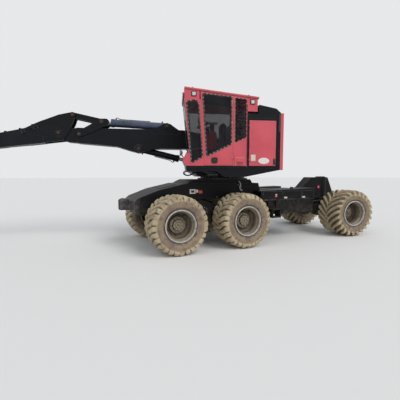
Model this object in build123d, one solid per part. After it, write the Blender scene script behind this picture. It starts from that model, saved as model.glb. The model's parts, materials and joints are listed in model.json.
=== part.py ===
from build123d import *
import math
import os

# Wheeled feller buncher, real size, in millimetres.
# +X is forward, +Y is the machine's left, +Z is up, and the floor is z = 0.
# The carrier's own frame has x = 0 at the middle of the front bogie.

# Wheels and tyres
TYRE_D = 1333
TYRE_R = TYRE_D / 2
FRONT_TYRE_W = 700
REAR_TYRE_W = 820
RIM_SEAT_R = 340
RIM_WALL = 12
RIM_FLANGE_R = 357
RIM_FLANGE_T = 22
FRONT_RIM_W = 640
REAR_RIM_W = 760
FRONT_DISH = 270
REAR_DISH = 350
WELL_R = 296
DISC_T = 22
HUB_R = 195
HUB_PROUD = 95
TREAD_BARS = 18
TREAD_R = 622
SHOULDER_IN = 14
BAR_T = 68
BAR_ANGLE = 20
BAR_GAP = 8
RUN_GAP = 0.5
SEAT_GAP = 0.3

# Carrier
BOGIE_SPREAD = 1710
FRONT_WHEEL_Y = 1100
REAR_WHEEL_Y = 1110
BOGIE_PIVOT_Z = 880
BOGIE_Y0 = 450
BOGIE_Y1 = 700
CHASSIS_HALF_W = 560
DECK_Z = 1549
TURRET_Z = 1650
TURRET_HALF_W = 520
CHASSIS_BELLY_Z = 1160
BEAM_HALF_W = 560
BEAM_TOP_Z = 1345
BEAM_BELLY_Z = 760
BEAM_CHAMFER = 200
SIDE_BOX_Y = 900
SIDE_BOX_GAP = 100
SIDE_BOX_X1 = -1600
LEDGE_Z = 1090
NECK_HALF_W = 150
POST_R = 190
POST_TOP_Z = 1695
POST_BELLY_Z = TYRE_R + 373.5
KINGPIN_R = 90
KINGPIN_X = -4610
STEER_AT_REST = -7.0
BEAM_REAR_X = KINGPIN_X + 1050
SIDE_BOX_X0 = BEAM_REAR_X + SIDE_BOX_GAP
AXLE_TUBE_R = 150
DIFF_R = 245

# Upper works, in a frame whose origin is on the swing axis
SWING_X = -920
SWING_AT_REST = -16.0
RING_R = 690
RING_TOP_Z = 1690
DECK_TOP_Z = 1930
SIDE_Y = 1300
CAB_REAR_U = -300
CAB_FRONT_U = 1180
CAB_RIGHT_Y = 150
WALL_T = 50
FRONT_SET_BACK = 84
ROOF_T = 45
ROOF_FRONT_Z = 3750
ROOF_SLOPE = 0.094
ROOF_REAR_U = -575
HOOD_REAR_U = -1128
GLASS_T = 8
BOOM_Y = -250
BOOM_HALF_W = 180

# Boom pins, as (u, z) in the boom's own plane
BOOM_FOOT = (300, 2700)
LIFT_BASE = (620, 2080)
LIFT_EYE = (2278, 2475)
STICK_CYL_BASE = (1520, 3085)
JOINT_J = (3215, 3160)
ROCKER_PIN = (3777, 2822)
STICK_EAR = (3935, 3310)
STICK_PIN = (4290, 2856)
WRIST = (7250, 2390)
TILT_BASE = (5950, 2880)
TILT_EAR = (7310, 2720)

os.makedirs("parts", exist_ok=True)


def block(x0, x1, y0, y1, z0, z1):
    return Pos((x0 + x1) / 2, (y0 + y1) / 2, (z0 + z1) / 2) * Box(abs(x1 - x0), abs(y1 - y0), abs(z1 - z0))


def prism(points, along):
    face = Face(Wire.make_polygon([Vector(*p) for p in points], close=True))
    return Part() + Solid.extrude(face, Vector(*along))


def side_plate(outline, y0, y1):
    """A plate whose outline is given as (x, z) points."""
    return prism([(x, y0, z) for x, z in outline], (0, y1 - y0, 0))


def rod_y(x, z, r, y0, y1):
    return Pos(x, (y0 + y1) / 2, z) * Rot(90, 0, 0) * Cylinder(r, abs(y1 - y0))


def rod_z(x, y, r, z0, z1):
    return Pos(x, y, (z0 + z1) / 2) * Cylinder(r, z1 - z0)


def bar(p0, p1, r):
    """A round bar between two points in space."""
    a = Vector(*p0)
    b = Vector(*p1)
    return Plane(origin=a, z_dir=(b - a)) * Pos(0, 0, (b - a).length / 2) * Cylinder(r, (b - a).length)


def hull_face(circles, lift):
    """The outline stretched round circles (a, b, r), given counter-clockwise, as a face."""
    count = len(circles)
    tangents = []
    for i in range(count):
        a0, b0, r0 = circles[i]
        a1, b1, r1 = circles[(i + 1) % count]
        run = math.hypot(a1 - a0, b1 - b0)
        heading = math.atan2(b1 - b0, a1 - a0)
        normal = heading - math.acos((r0 - r1) / run)
        c = math.cos(normal)
        s = math.sin(normal)
        tangents.append((normal, (a0 + r0 * c, b0 + r0 * s), (a1 + r1 * c, b1 + r1 * s)))
    edges = []
    for i in range(count):
        n0, start, end = tangents[i]
        n1, next_start, _ = tangents[(i + 1) % count]
        a, b, r = circles[(i + 1) % count]
        edges.append(Edge.make_line(lift(*start), lift(*end)))
        turn = (n1 - n0) % (2 * math.pi)
        mid = n0 + turn / 2
        middle = (a + r * math.cos(mid), b + r * math.sin(mid))
        edges.append(Edge.make_three_point_arc(lift(*end), lift(*middle), lift(*next_start)))
    return Face(Wire(edges))


def side_hull(circles, y0, y1):
    """A plate in the XZ plane round circles (x, z, r)."""
    face = hull_face(circles, lambda a, b: Vector(a, y0, b))
    return Part() + Solid.extrude(face, Vector(0, y1 - y0, 0))


def plan_hull(circles, z0, z1):
    """A plate in the XY plane round circles (x, y, r)."""
    face = hull_face(circles, lambda a, b: Vector(a, b, z0))
    return Part() + Solid.extrude(face, Vector(0, 0, z1 - z0))


def inset(points, gap):
    """A convex outline drawn in by a gap on every side."""
    count = len(points)
    area = sum(points[i][0] * points[(i + 1) % count][1] - points[(i + 1) % count][0] * points[i][1]
               for i in range(count))
    turn = 1 if area > 0 else -1
    lines = []
    for i in range(count):
        (a0, b0), (a1, b1) = points[i], points[(i + 1) % count]
        run = math.hypot(a1 - a0, b1 - b0)
        na = -(b1 - b0) / run * turn
        nb = (a1 - a0) / run * turn
        lines.append((na, nb, na * a0 + nb * b0 + gap))
    result = []
    for i in range(count):
        n0a, n0b, d0 = lines[i - 1]
        n1a, n1b, d1 = lines[i]
        det = n0a * n1b - n0b * n1a
        result.append(((d0 * n1b - n0b * d1) / det, (n0a * d1 - d0 * n1a) / det))
    return result


def mirror_y(shape):
    return mirror(shape, Plane.XZ)


def both_sides(shape):
    return shape + mirror_y(shape)


TO_UPPER = Pos(SWING_X, 0, 0) * Rot(0, 0, SWING_AT_REST)
TO_STEER = Pos(KINGPIN_X, 0, 0) * Rot(0, 0, STEER_AT_REST)
nodes = {}


# Wheels: the barred tyre and the deep-dish rim about Y, outer face towards +Y
def bar_ring(r, y):
    """The corners of a ring with one flat side to each tread bar; r is to the middle of a side."""
    step = 2 * math.pi / TREAD_BARS
    corner_r = r / math.cos(step / 2)
    turns = [step * (i + 0.5) - math.pi / 2 for i in range(TREAD_BARS)]
    return [Vector(corner_r * math.cos(t), y, corner_r * math.sin(t)) for t in turns]


def tread_bar(half):
    """One slanted bar under the wheel, and how far its corners lie from its middle."""
    slant = math.radians(BAR_ANGLE)
    y1 = half - SHOULDER_IN
    lean = (y1 - BAR_GAP) * math.tan(slant) / 2
    across = BAR_T / math.cos(slant) / 2
    reach = lean + across
    top_z = -math.sqrt(TYRE_R ** 2 - reach ** 2)
    outline = [(-lean - across, BAR_GAP, top_z), (-lean + across, BAR_GAP, top_z),
               (lean + across, y1, top_z), (lean - across, y1, top_z)]
    return prism(outline, (0, 0, -TREAD_R + 25 - top_z)), reach


def tyre(width, rim_w):
    bead = rim_w / 2 - RIM_FLANGE_T - SEAT_GAP
    half = width / 2
    # radius and y of each ring, once round the section
    rings = [(RIM_SEAT_R, -bead), (RIM_FLANGE_R + 3, -bead), (500, -half), (TREAD_R, SHOULDER_IN - half),
             (TREAD_R, half - SHOULDER_IN), (500, half), (RIM_FLANGE_R + 3, bead), (RIM_SEAT_R, bead)]
    faces = []
    for (r0, y0), (r1, y1) in zip(rings, rings[1:] + rings[:1]):
        low, high = bar_ring(r0, y0), bar_ring(r1, y1)
        faces += [Face(Wire.make_polygon([low[i - 1], low[i], high[i], high[i - 1]], close=True))
                  for i in range(TREAD_BARS)]
    body = Part() + Solid(Shell(faces))
    outer_bar, reach = tread_bar(half)
    bars = []
    for bar_shape, first in ((outer_bar, 0), (mirror_y(outer_bar), 180 / TREAD_BARS)):
        bars += [Rot(0, first + 360 / TREAD_BARS * i, 0) * bar_shape for i in range(TREAD_BARS)]
    body += bars
    # a bar's corner stands at the very bottom
    corner = math.degrees(math.asin(reach / TYRE_R))
    return Rot(0, 180 / TREAD_BARS - corner, 0) * body


def rim(rim_w, dish):
    half = rim_w / 2
    wall = RIM_SEAT_R - SEAT_GAP
    disc = half - dish
    outline = [
        (0, disc - DISC_T), (wall - RIM_WALL, disc - DISC_T), (wall - RIM_WALL, -half),
        (RIM_FLANGE_R, -half), (RIM_FLANGE_R, -half + RIM_FLANGE_T), (wall, -half + RIM_FLANGE_T),
        (wall, half - RIM_FLANGE_T), (RIM_FLANGE_R, half - RIM_FLANGE_T), (RIM_FLANGE_R, half),
        (wall - RIM_WALL, half), (wall - RIM_WALL, half - 60), (WELL_R, half - 105), (WELL_R, disc + 30),
        (WELL_R - 35, disc), (HUB_R, disc), (HUB_R - 6, disc + HUB_PROUD * 0.5),
        (HUB_R - 65, disc + HUB_PROUD * 0.62), (HUB_R - 78, disc + HUB_PROUD), (0, disc + HUB_PROUD),
    ]
    return revolve(make_face(Polyline(*outline, close=True)), Axis.Y, 360)


FRONT_TYRE = tyre(FRONT_TYRE_W, FRONT_RIM_W)
REAR_TYRE = tyre(REAR_TYRE_W, REAR_RIM_W)
FRONT_RIM = rim(FRONT_RIM_W, FRONT_DISH)
REAR_RIM = rim(REAR_RIM_W, REAR_DISH)
FRONT_DISC_Y = FRONT_WHEEL_Y + FRONT_RIM_W / 2 - FRONT_DISH - DISC_T
REAR_DISC_Y = REAR_WHEEL_Y + REAR_RIM_W / 2 - REAR_DISH - DISC_T

# name, x in its frame, y, tyre, rim, placement
WHEELS = [
    ("front", BOGIE_SPREAD / 2, FRONT_WHEEL_Y, FRONT_TYRE, FRONT_RIM, Pos(0, 0, 0)),
    ("middle", -BOGIE_SPREAD / 2, FRONT_WHEEL_Y, FRONT_TYRE, FRONT_RIM, Pos(0, 0, 0)),
    ("rear", 0, REAR_WHEEL_Y, REAR_TYRE, REAR_RIM, TO_STEER),
]
for wheel, wheel_x, wheel_y, tyre_shape, rim_shape, place in WHEELS:
    for side, sign in (("left", 1), ("right", -1)):
        spot = place * Pos(wheel_x, sign * wheel_y, TYRE_R)
        nodes[f"tyre_{wheel}_{side}"] = spot * (tyre_shape if sign > 0 else mirror_y(tyre_shape))
        nodes[f"rim_{wheel}_{side}"] = spot * (rim_shape if sign > 0 else mirror_y(rim_shape))


# Front bogie and its cross axle
def bogie_beam():
    hub_x = BOGIE_SPREAD / 2
    beam = side_hull([(-hub_x, TYRE_R, 190), (0, BOGIE_PIVOT_Z, 250)], BOGIE_Y0, BOGIE_Y1) \
        + side_hull([(0, BOGIE_PIVOT_Z, 250), (hub_x, TYRE_R, 190)][::-1], BOGIE_Y0, BOGIE_Y1)
    for x in (-hub_x, hub_x):
        beam += rod_y(x, TYRE_R, 150, BOGIE_Y1, FRONT_DISC_Y - RUN_GAP)
    beam += rod_y(0, BOGIE_PIVOT_Z, 130, BOGIE_Y1, BOGIE_Y1 + 30)
    return beam


front_axle = rod_y(0, BOGIE_PIVOT_Z, AXLE_TUBE_R, -BOGIE_Y0 + SEAT_GAP, BOGIE_Y0 - SEAT_GAP)
front_axle += rod_y(0, BOGIE_PIVOT_Z, DIFF_R, -170, 170)
front_axle += block(-220, 220, -390, 390, BOGIE_PIVOT_Z + 60, CHASSIS_BELLY_Z - SEAT_GAP)
nodes["front_axle"] = front_axle
beam_left = bogie_beam()
nodes["bogie_beams"] = both_sides(beam_left)

# Carrier chassis: front hull with its sloped nose, middle beam and gooseneck
NOSE_X = 1660
hull = side_plate([
    (NOSE_X, 890), (NOSE_X, 1160), (1577, 1227), (1092, 1407), (440, DECK_Z), (-1740, DECK_Z), (-1800, BEAM_TOP_Z),
    (-1800, CHASSIS_BELLY_Z), (1080, CHASSIS_BELLY_Z), (1250, 860), (1512, 826)],
    -CHASSIS_HALF_W, CHASSIS_HALF_W)
turret_base = side_plate([
    (540, DECK_Z - 100), (140, TURRET_Z), (-1500, TURRET_Z), (-1640, DECK_Z - 100)],
    -TURRET_HALF_W, TURRET_HALF_W)
middle = side_plate([
    (-1560, CHASSIS_BELLY_Z + 60), (-1560, BEAM_BELLY_Z + BEAM_CHAMFER), (-1760, BEAM_BELLY_Z),
    (BEAM_REAR_X + 260, BEAM_BELLY_Z), (BEAM_REAR_X, BEAM_BELLY_Z + BEAM_CHAMFER), (BEAM_REAR_X, BEAM_TOP_Z),
    (-1750, BEAM_TOP_Z)], -BEAM_HALF_W, BEAM_HALF_W)
neck = side_plate([
    (BEAM_REAR_X + 60, POST_BELLY_Z - 60), (BEAM_REAR_X + 60, BEAM_TOP_Z), (BEAM_REAR_X - 140, BEAM_TOP_Z + 30),
    (KINGPIN_X + 560, POST_TOP_Z), (KINGPIN_X - 170, POST_TOP_Z - 10), (KINGPIN_X - 400, POST_BELLY_Z + 170),
    (KINGPIN_X - 330, POST_BELLY_Z), (KINGPIN_X + 610, POST_BELLY_Z)], -NECK_HALF_W, NECK_HALF_W)
post = rod_z(KINGPIN_X, 0, POST_R, POST_BELLY_Z, POST_TOP_Z)
kingpin_bore = rod_z(KINGPIN_X, 0, KINGPIN_R + SEAT_GAP, POST_BELLY_Z - 1, POST_TOP_Z - 90)
REAR_BORE_R = 26
REAR_BORE_X = KINGPIN_X - 430
REAR_LUG_Z0 = POST_BELLY_Z + 20
REAR_LUG_Z1 = REAR_LUG_Z0 + 100
TOW_BORE_R = 32
TOW_X = NOSE_X + 170
NOSE_Z0 = 920
NOSE_Z1 = 1190
NOSE_ROUND = 45
nose = plan_hull([(NOSE_X - 50, 0, 160), (TOW_X - 10, 0, 110)], NOSE_Z0, NOSE_Z1)
nose = fillet(nose.edges().group_by(Axis.Z)[0] + nose.edges().group_by(Axis.Z)[-1], NOSE_ROUND)
rear_lug = plan_hull([(KINGPIN_X - 300, 0, 90), (REAR_BORE_X, 0, 75)][::-1], REAR_LUG_Z0, REAR_LUG_Z1)
rear_lug -= rod_z(REAR_BORE_X, 0, REAR_BORE_R, REAR_LUG_Z0 - 1, REAR_LUG_Z1 + 1)
nose -= rod_z(TOW_X, 0, TOW_BORE_R, NOSE_Z0 - 1, NOSE_Z1 + 1)
STEER_BASE = (KINGPIN_X + 970, 215)
STEER_Z = TYRE_R + AXLE_TUBE_R + 113.5
STEER_EYE = (0, 455)
STEER_PIN_R = 22
LUG_T = 25
LUG_OUT = 75
# lowest and highest z of the two lugs that hold a steering cylinder's pin
STEER_LUGS = [(STEER_Z - LUG_OUT, STEER_Z - LUG_OUT + LUG_T), (STEER_Z + LUG_OUT - LUG_T, STEER_Z + LUG_OUT)]
steer_lugs = Part()
for sign in (1, -1):
    lug_y = sign * STEER_BASE[1]
    steer_lugs += rod_z(STEER_BASE[0], lug_y, STEER_PIN_R, STEER_Z - LUG_OUT - 1, STEER_Z + LUG_OUT + 1)
    for z0, z1 in STEER_LUGS:
        steer_lugs += block(BEAM_REAR_X - 10, STEER_BASE[0], lug_y - 55, lug_y + 55, z0, z1)
        steer_lugs += rod_z(STEER_BASE[0], lug_y, 55, z0, z1)
beam_end = block(BEAM_REAR_X - 10, BEAM_REAR_X + 60, -300, 300, STEER_Z - LUG_OUT - 15, STEER_Z + LUG_OUT + 15)
front_half = hull + turret_base + nose
nodes["front_chassis"] = front_half
nodes["rear_frame"] = middle + neck + rear_lug + post + beam_end + steer_lugs - kingpin_bore - hull

# Side boxes along the middle beam: tank on the left, tools on the right
side_box = side_plate([
    (SIDE_BOX_X1, LEDGE_Z + SEAT_GAP), (SIDE_BOX_X1, BEAM_TOP_Z), (SIDE_BOX_X0, BEAM_TOP_Z + 50),
    (SIDE_BOX_X0, LEDGE_Z + SEAT_GAP)], BEAM_HALF_W + SEAT_GAP, SIDE_BOX_Y)
side_box += side_plate([
    (SIDE_BOX_X1 - 100, LEDGE_Z + SEAT_GAP), (SIDE_BOX_X1 - 280, 705), (SIDE_BOX_X0 + 30, 705),
    (SIDE_BOX_X0 + 30, LEDGE_Z + SEAT_GAP)], BEAM_HALF_W + SEAT_GAP, SIDE_BOX_Y - 30)
nodes["side_boxes"] = both_sides(side_box)

# Boarding step that hangs in front of each side box
STEP_X = -1960
STEP_Y = SIDE_BOX_Y - 30 + SEAT_GAP
STEP_OUT = SIDE_BOX_Y + 200
STEP_LOW_Z = 640
step = Part()
for x in (STEP_X - 140, STEP_X + 115):
    step += block(x, x + 25, STEP_Y, STEP_Y + 40, STEP_LOW_Z, LEDGE_Z - 5)
    step += block(x, x + 25, STEP_Y, STEP_OUT, STEP_LOW_Z, STEP_LOW_Z + 238)
for z in (STEP_LOW_Z, STEP_LOW_Z + 210):
    step += block(STEP_X - 140, STEP_X + 140, STEP_Y, STEP_OUT, z, z + 28)
nodes["boarding_step"] = step

# Slewing ring on the turret base
ring = rod_z(SWING_X, 0, RING_R - 50, TURRET_Z + SEAT_GAP, RING_TOP_Z)
ring += rod_z(SWING_X, 0, RING_R, TURRET_Z + SEAT_GAP, RING_TOP_Z - 12)
nodes["swing_bearing"] = ring

# Rear steer frame on its kingpin, its axle, in the frame of the kingpin
SADDLE_TOP_Z = POST_BELLY_Z - RUN_GAP
SADDLE_HALF_X = 200
SADDLE_HALF_Y = 260
DIFF_HALF_W = 180
saddle = block(-SADDLE_HALF_X, SADDLE_HALF_X, -SADDLE_HALF_Y, SADDLE_HALF_Y, TYRE_R + 33.5, SADDLE_TOP_Z)
saddle += rod_z(0, 0, KINGPIN_R, SADDLE_TOP_Z - 60, POST_TOP_Z - 91)
for sign in (1, -1):
    eye_y = sign * STEER_EYE[1]
    for z0, z1 in STEER_LUGS:
        saddle += plan_hull([(STEER_EYE[0], sign * (SADDLE_HALF_Y + 30), 100), (STEER_EYE[0], eye_y, 50)], z0, z1)
saddle -= rod_y(0, TYRE_R, AXLE_TUBE_R + SEAT_GAP, -SADDLE_HALF_Y - 200, SADDLE_HALF_Y + 200)
saddle -= rod_y(0, TYRE_R, DIFF_R + SEAT_GAP, -DIFF_HALF_W - SEAT_GAP, DIFF_HALF_W + SEAT_GAP)
nodes["steer_frame"] = TO_STEER * saddle
rear_axle = rod_y(0, TYRE_R, AXLE_TUBE_R, -560, 560)
rear_axle += rod_y(0, TYRE_R, DIFF_R, -DIFF_HALF_W, DIFF_HALF_W)
rear_axle += both_sides(rod_y(0, TYRE_R, 200, 520, 560))
rear_axle += both_sides(rod_y(0, TYRE_R, 150, 559, REAR_DISC_Y - RUN_GAP))
nodes["rear_axle"] = TO_STEER * rear_axle


# Cylinders: a barrel from its base pin and a rod that ends in its eye
BORE_GAP = 3


def cylinder_parts(base, eye, barrel_r, rod_r, barrel_len, eye_half_w, pin_r, travel_in, across):
    """Both parts in space; across is the pins' direction, and travel_in is how far the rod can go in."""
    a = Vector(*base)
    b = Vector(*eye)
    line = (b - a).normalized()
    over = Vector(*across)

    def eye_ring(at, outer):
        start = at - over * eye_half_w
        end = at + over * eye_half_w
        return bar(start, end, outer) - bar(start - over, end + over, pin_r + SEAT_GAP)

    eye_r = pin_r * 1.9
    hollow = bar(a - over * 500, a + over * 500, pin_r + SEAT_GAP)
    barrel = bar(a + line * pin_r * 1.2, a + line * barrel_len, barrel_r) + bar(
        a - over * eye_half_w, a + over * eye_half_w, eye_r)
    barrel += bar(a + line * (barrel_len - 60), a + line * (barrel_len + 25), barrel_r + 12)
    barrel -= hollow
    bottom = eye_r + 30
    start = bottom + travel_in + 10
    barrel -= bar(a + line * bottom, a + line * barrel_len, rod_r + BORE_GAP)
    barrel -= bar(a + line * bottom, a + line * (barrel_len + 30), rod_r + SEAT_GAP)
    rod = bar(a + line * start, b - line * pin_r * 1.2, rod_r) + eye_ring(b, eye_r)
    rod -= bar(b - over * 500, b + over * 500, pin_r + SEAT_GAP)
    return barrel, rod


def steer_world(x, y, z):
    angle = math.radians(STEER_AT_REST)
    return (KINGPIN_X + x * math.cos(angle) - y * math.sin(angle),
            x * math.sin(angle) + y * math.cos(angle), z)


for side, sign in (("left", 1), ("right", -1)):
    base = (STEER_BASE[0], sign * STEER_BASE[1], STEER_Z)
    eye = steer_world(STEER_EYE[0], sign * STEER_EYE[1], STEER_Z)
    barrel, rod = cylinder_parts(base, eye, 48, 26, 600, 44, STEER_PIN_R, 232, (0, 0, 1))
    nodes[f"steer_barrel_{side}"] = barrel
    nodes[f"steer_rod_{side}"] = rod

CAB_FLOOR_FRONT_U = 1150


def set_back(y):
    """How far the cab's front lies behind its left corner."""
    return FRONT_SET_BACK * (SIDE_Y - y) / (SIDE_Y - CAB_RIGHT_Y)


def cab_plan(u0, proud, y0, y1, z0, z1):
    """A floor plate from u0 to the cab's set-back front, or that much past it."""
    front = CAB_FLOOR_FRONT_U + proud
    return prism([(u0, y0, z0), (front - set_back(y0), y0, z0), (front - set_back(y1), y1, z0), (u0, y1, z0)],
                 (0, 0, z1 - z0))


# Upper works: the revolving deck with the boom tower
TOWER_IN = BOOM_HALF_W + 10
TOWER_OUT = TOWER_IN + 45
DECK_T = 80
BELLY_Z = RING_TOP_Z + 30
deck = side_plate([
    (HOOD_REAR_U, DECK_TOP_Z), (HOOD_REAR_U, DECK_TOP_Z - 45), (-270, BELLY_Z), (250, BELLY_Z),
    (420, DECK_TOP_Z - DECK_T), (900, DECK_TOP_Z - DECK_T), (900, DECK_TOP_Z)], -1280, 1280)
deck += side_plate([
    (240, BELLY_Z), (700, BELLY_Z), (900, DECK_TOP_Z - DECK_T), (900, DECK_TOP_Z - 10), (240, DECK_TOP_Z - 10)],
    -660, 560)
deck += cab_plan(890, -10, CAB_RIGHT_Y, 1280, DECK_TOP_Z - DECK_T, DECK_TOP_Z)
deck += rod_z(0, 0, RING_R - 80, RING_TOP_Z + RUN_GAP, RING_TOP_Z + 60)
tower_side = [(-180, DECK_TOP_Z - 20), (850, DECK_TOP_Z - 20), (790, 2150), (450, 2830),
              (170, 2850), (-60, 2500)]
for y0, y1 in ((BOOM_Y - TOWER_OUT, BOOM_Y - TOWER_IN), (BOOM_Y + TOWER_IN, BOOM_Y + TOWER_OUT)):
    deck += side_plate(tower_side, y0, y1)
deck += block(-170, -120, BOOM_Y - TOWER_OUT, BOOM_Y + TOWER_OUT, DECK_TOP_Z - 20, 2300)
deck += rod_y(*BOOM_FOOT, 55, BOOM_Y - TOWER_OUT - 15, BOOM_Y + TOWER_OUT + 15)
LIFT_EYE_HALF = 60
for sign in (1, -1):
    pin_ends = sorted((BOOM_Y + sign * (LIFT_EYE_HALF + 8), BOOM_Y + sign * (TOWER_OUT + 15)))
    deck += rod_y(*LIFT_BASE, 45, *pin_ends)
nodes["upper_deck"] = TO_UPPER * deck


# Cab, split at its real panels
def roof_under(u):
    return ROOF_FRONT_Z - ROOF_T - ROOF_SLOPE * (CAB_FRONT_U - u)


FLOOR_TOP = DECK_TOP_Z + SEAT_GAP + WALL_T
DOOR_REAR_U = 45
DOOR_FRONT_TOP_U = 815
DOOR_FRONT_LOW_U = 725
DOOR_GAP = 6
BOX_LOW_Z = ROOF_FRONT_Z - 260
WINDOW_TOP_Z = BOX_LOW_Z - 60
WINDOW_LOW_Z = 2700
BOX_REAR_U = 835
floor = cab_plan(CAB_REAR_U, 0, CAB_RIGHT_Y, SIDE_Y, DECK_TOP_Z + SEAT_GAP, FLOOR_TOP)
nodes["cab_floor"] = TO_UPPER * floor


def front_u(z):
    """The cab's raked front face."""
    return 1060 + (z - 2300) * (CAB_FRONT_U - 1060) / (BOX_LOW_Z - 2300)


PILLAR = 45
WALL_Z0 = FLOOR_TOP + SEAT_GAP
INNER_Y1 = SIDE_Y - WALL_T

# Left wall: rear panel with the mesh window, and the front quarter panel with its glass
rear_panel = [(CAB_REAR_U, WALL_Z0), (DOOR_REAR_U - DOOR_GAP, WALL_Z0),
              (DOOR_REAR_U - DOOR_GAP, roof_under(DOOR_REAR_U - DOOR_GAP) - SEAT_GAP),
              (CAB_REAR_U, roof_under(CAB_REAR_U) - SEAT_GAP)]
mesh_window = [(-265, 2655), (-15, 2540), (-15, roof_under(-15) - 58), (-265, roof_under(-265) - 60)]
left_rear = side_plate(rear_panel, INNER_Y1, SIDE_Y) - side_plate(mesh_window, INNER_Y1 - 1, SIDE_Y + 1)


def door_front_u(z):
    share = (z - FLOOR_TOP) / (roof_under(800) - FLOOR_TOP)
    return DOOR_FRONT_LOW_U + share * (DOOR_FRONT_TOP_U - DOOR_FRONT_LOW_U)


quarter_top = BOX_LOW_Z - SEAT_GAP
quarter_panel = [(door_front_u(WALL_Z0) + DOOR_GAP, WALL_Z0), (1150, WALL_Z0), (1215, 2120), (1160, 2240),
                 (front_u(2300), 2300), (front_u(quarter_top), quarter_top),
                 (door_front_u(quarter_top) + DOOR_GAP, quarter_top)]
quarter_window = [(1015, 2060), (1122, WINDOW_TOP_Z - 15), (935, WINDOW_TOP_Z + 30),
                  (861, WINDOW_TOP_Z - 58), (775, 2195)]
left_front = side_plate(quarter_panel, INNER_Y1, SIDE_Y) \
    - side_plate(quarter_window, INNER_Y1 - 1, SIDE_Y + 1)
HINGE_U = 20
HINGE_Y = SIDE_Y + 16
HINGE_R = 14
HINGE_PIN_R = 8
HINGE_H = 60
HINGES_Z = (2150, ROOF_FRONT_Z - 800, ROOF_FRONT_Z - 350)


def hinge_pin(u, y, face_y, pin_r, lug_r, z, height):
    """The fixed half of a hinge: a pin between two lugs that stand on the face."""
    pin = rod_z(u, y, pin_r, z - 20, z + height + 20)
    for z0, z1 in ((z - 22, z - SEAT_GAP), (z + height + SEAT_GAP, z + height + 22)):
        pin += rod_z(u, y, lug_r, z0, z1) + block(u - 2, u + lug_r, face_y - 5, y, z0, z1)
    return pin


for z in HINGES_Z:
    left_rear += mirror(hinge_pin(-HINGE_U, HINGE_Y, SIDE_Y, HINGE_PIN_R, HINGE_R - 2, z, HINGE_H), Plane.YZ)
nodes["cab_left"] = TO_UPPER * (left_rear + left_front)

# Right wall, one panel with a large window
RIGHT_BACK = FRONT_SET_BACK
right_outline = [(CAB_REAR_U, WALL_Z0), (1150 - RIGHT_BACK, WALL_Z0), (1215 - RIGHT_BACK, 2120),
                 (1160 - RIGHT_BACK, 2240), (front_u(2300) - RIGHT_BACK, 2300),
                 (front_u(quarter_top) - RIGHT_BACK, quarter_top), (BOX_REAR_U, quarter_top),
                 (BOX_REAR_U, roof_under(BOX_REAR_U) - SEAT_GAP),
                 (CAB_REAR_U, roof_under(CAB_REAR_U) - SEAT_GAP)]
right_window = [(-180, WINDOW_LOW_Z), (870, 2450), (950, WINDOW_TOP_Z - 30), (-180, WINDOW_TOP_Z - 30)]
nodes["cab_right"] = TO_UPPER * (
    side_plate(right_outline, CAB_RIGHT_Y, CAB_RIGHT_Y + WALL_T)
    - side_plate(right_window, CAB_RIGHT_Y - 1, CAB_RIGHT_Y + WALL_T + 1))

# Front frame between the side walls, with the windscreen opening and the toe box
front_outer = [(1150, WALL_Z0), (1215, 2120), (1160, 2240), (front_u(2300), 2300),
               (front_u(quarter_top), quarter_top)]
front_inner = [(u - WALL_T, z) for u, z in reversed(front_outer)]
front_y0 = CAB_RIGHT_Y + WALL_T + SEAT_GAP
front_y1 = INNER_Y1 - SEAT_GAP


def front_slab(outline, y0, y1):
    """A slab between two side planes that follows the set-back front."""
    points = [(u - set_back(y0), y0, z) for u, z in outline]
    return prism(points, (set_back(y0) - set_back(y1), y1 - y0, 0))


front = front_slab(front_outer + front_inner, front_y0, front_y1)
screen_z0 = 2350
screen_z1 = WINDOW_TOP_Z
front -= front_slab([(front_u(screen_z0) - 70, screen_z0), (front_u(screen_z0) + 20, screen_z0),
                     (front_u(screen_z1) + 20, screen_z1), (front_u(screen_z1) - 70, screen_z1)],
                    front_y0 + PILLAR, front_y1 - PILLAR)
nodes["cab_front"] = TO_UPPER * front

# Rear wall with its window
rear_z1 = roof_under(CAB_REAR_U) - SEAT_GAP
rear = block(CAB_REAR_U, CAB_REAR_U + WALL_T, front_y0, front_y1, WALL_Z0, rear_z1 - 1)
REAR_WINDOW_TOP_Z = rear_z1 - 215
rear -= block(CAB_REAR_U - 1, CAB_REAR_U + WALL_T + 1, front_y0 + 130, front_y1 - 130,
              WINDOW_LOW_Z, REAR_WINDOW_TOP_Z)
nodes["cab_rear"] = TO_UPPER * rear

# Roof slab with its front and rear lamp boxes
roof = side_plate([
    (CAB_FRONT_U, ROOF_FRONT_Z), (ROOF_REAR_U, ROOF_FRONT_Z - ROOF_SLOPE * (CAB_FRONT_U - ROOF_REAR_U)),
    (ROOF_REAR_U, roof_under(ROOF_REAR_U)), (CAB_FRONT_U, roof_under(CAB_FRONT_U))],
    CAB_RIGHT_Y - 20, SIDE_Y + 12)
roof += side_plate([
    (CAB_FRONT_U - 8, roof_under(CAB_FRONT_U) + 5), (BOX_REAR_U, roof_under(BOX_REAR_U) + 5),
    (BOX_REAR_U, BOX_LOW_Z), (CAB_FRONT_U - 12, BOX_LOW_Z)], CAB_RIGHT_Y, SIDE_Y)
roof += block(ROOF_REAR_U + 30, CAB_REAR_U - 5, CAB_RIGHT_Y, SIDE_Y, ROOF_FRONT_Z - 500,
              roof_under(ROOF_REAR_U) + 10)
roof -= prism([(CAB_FRONT_U + 2, SIDE_Y + 13, BOX_LOW_Z - 10), (CAB_FRONT_U - set_back(CAB_RIGHT_Y - 21),
               CAB_RIGHT_Y - 21, BOX_LOW_Z - 10), (CAB_FRONT_U + 90, CAB_RIGHT_Y - 21, BOX_LOW_Z - 10)], (0, 0, 300))
LAMP = 115
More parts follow.
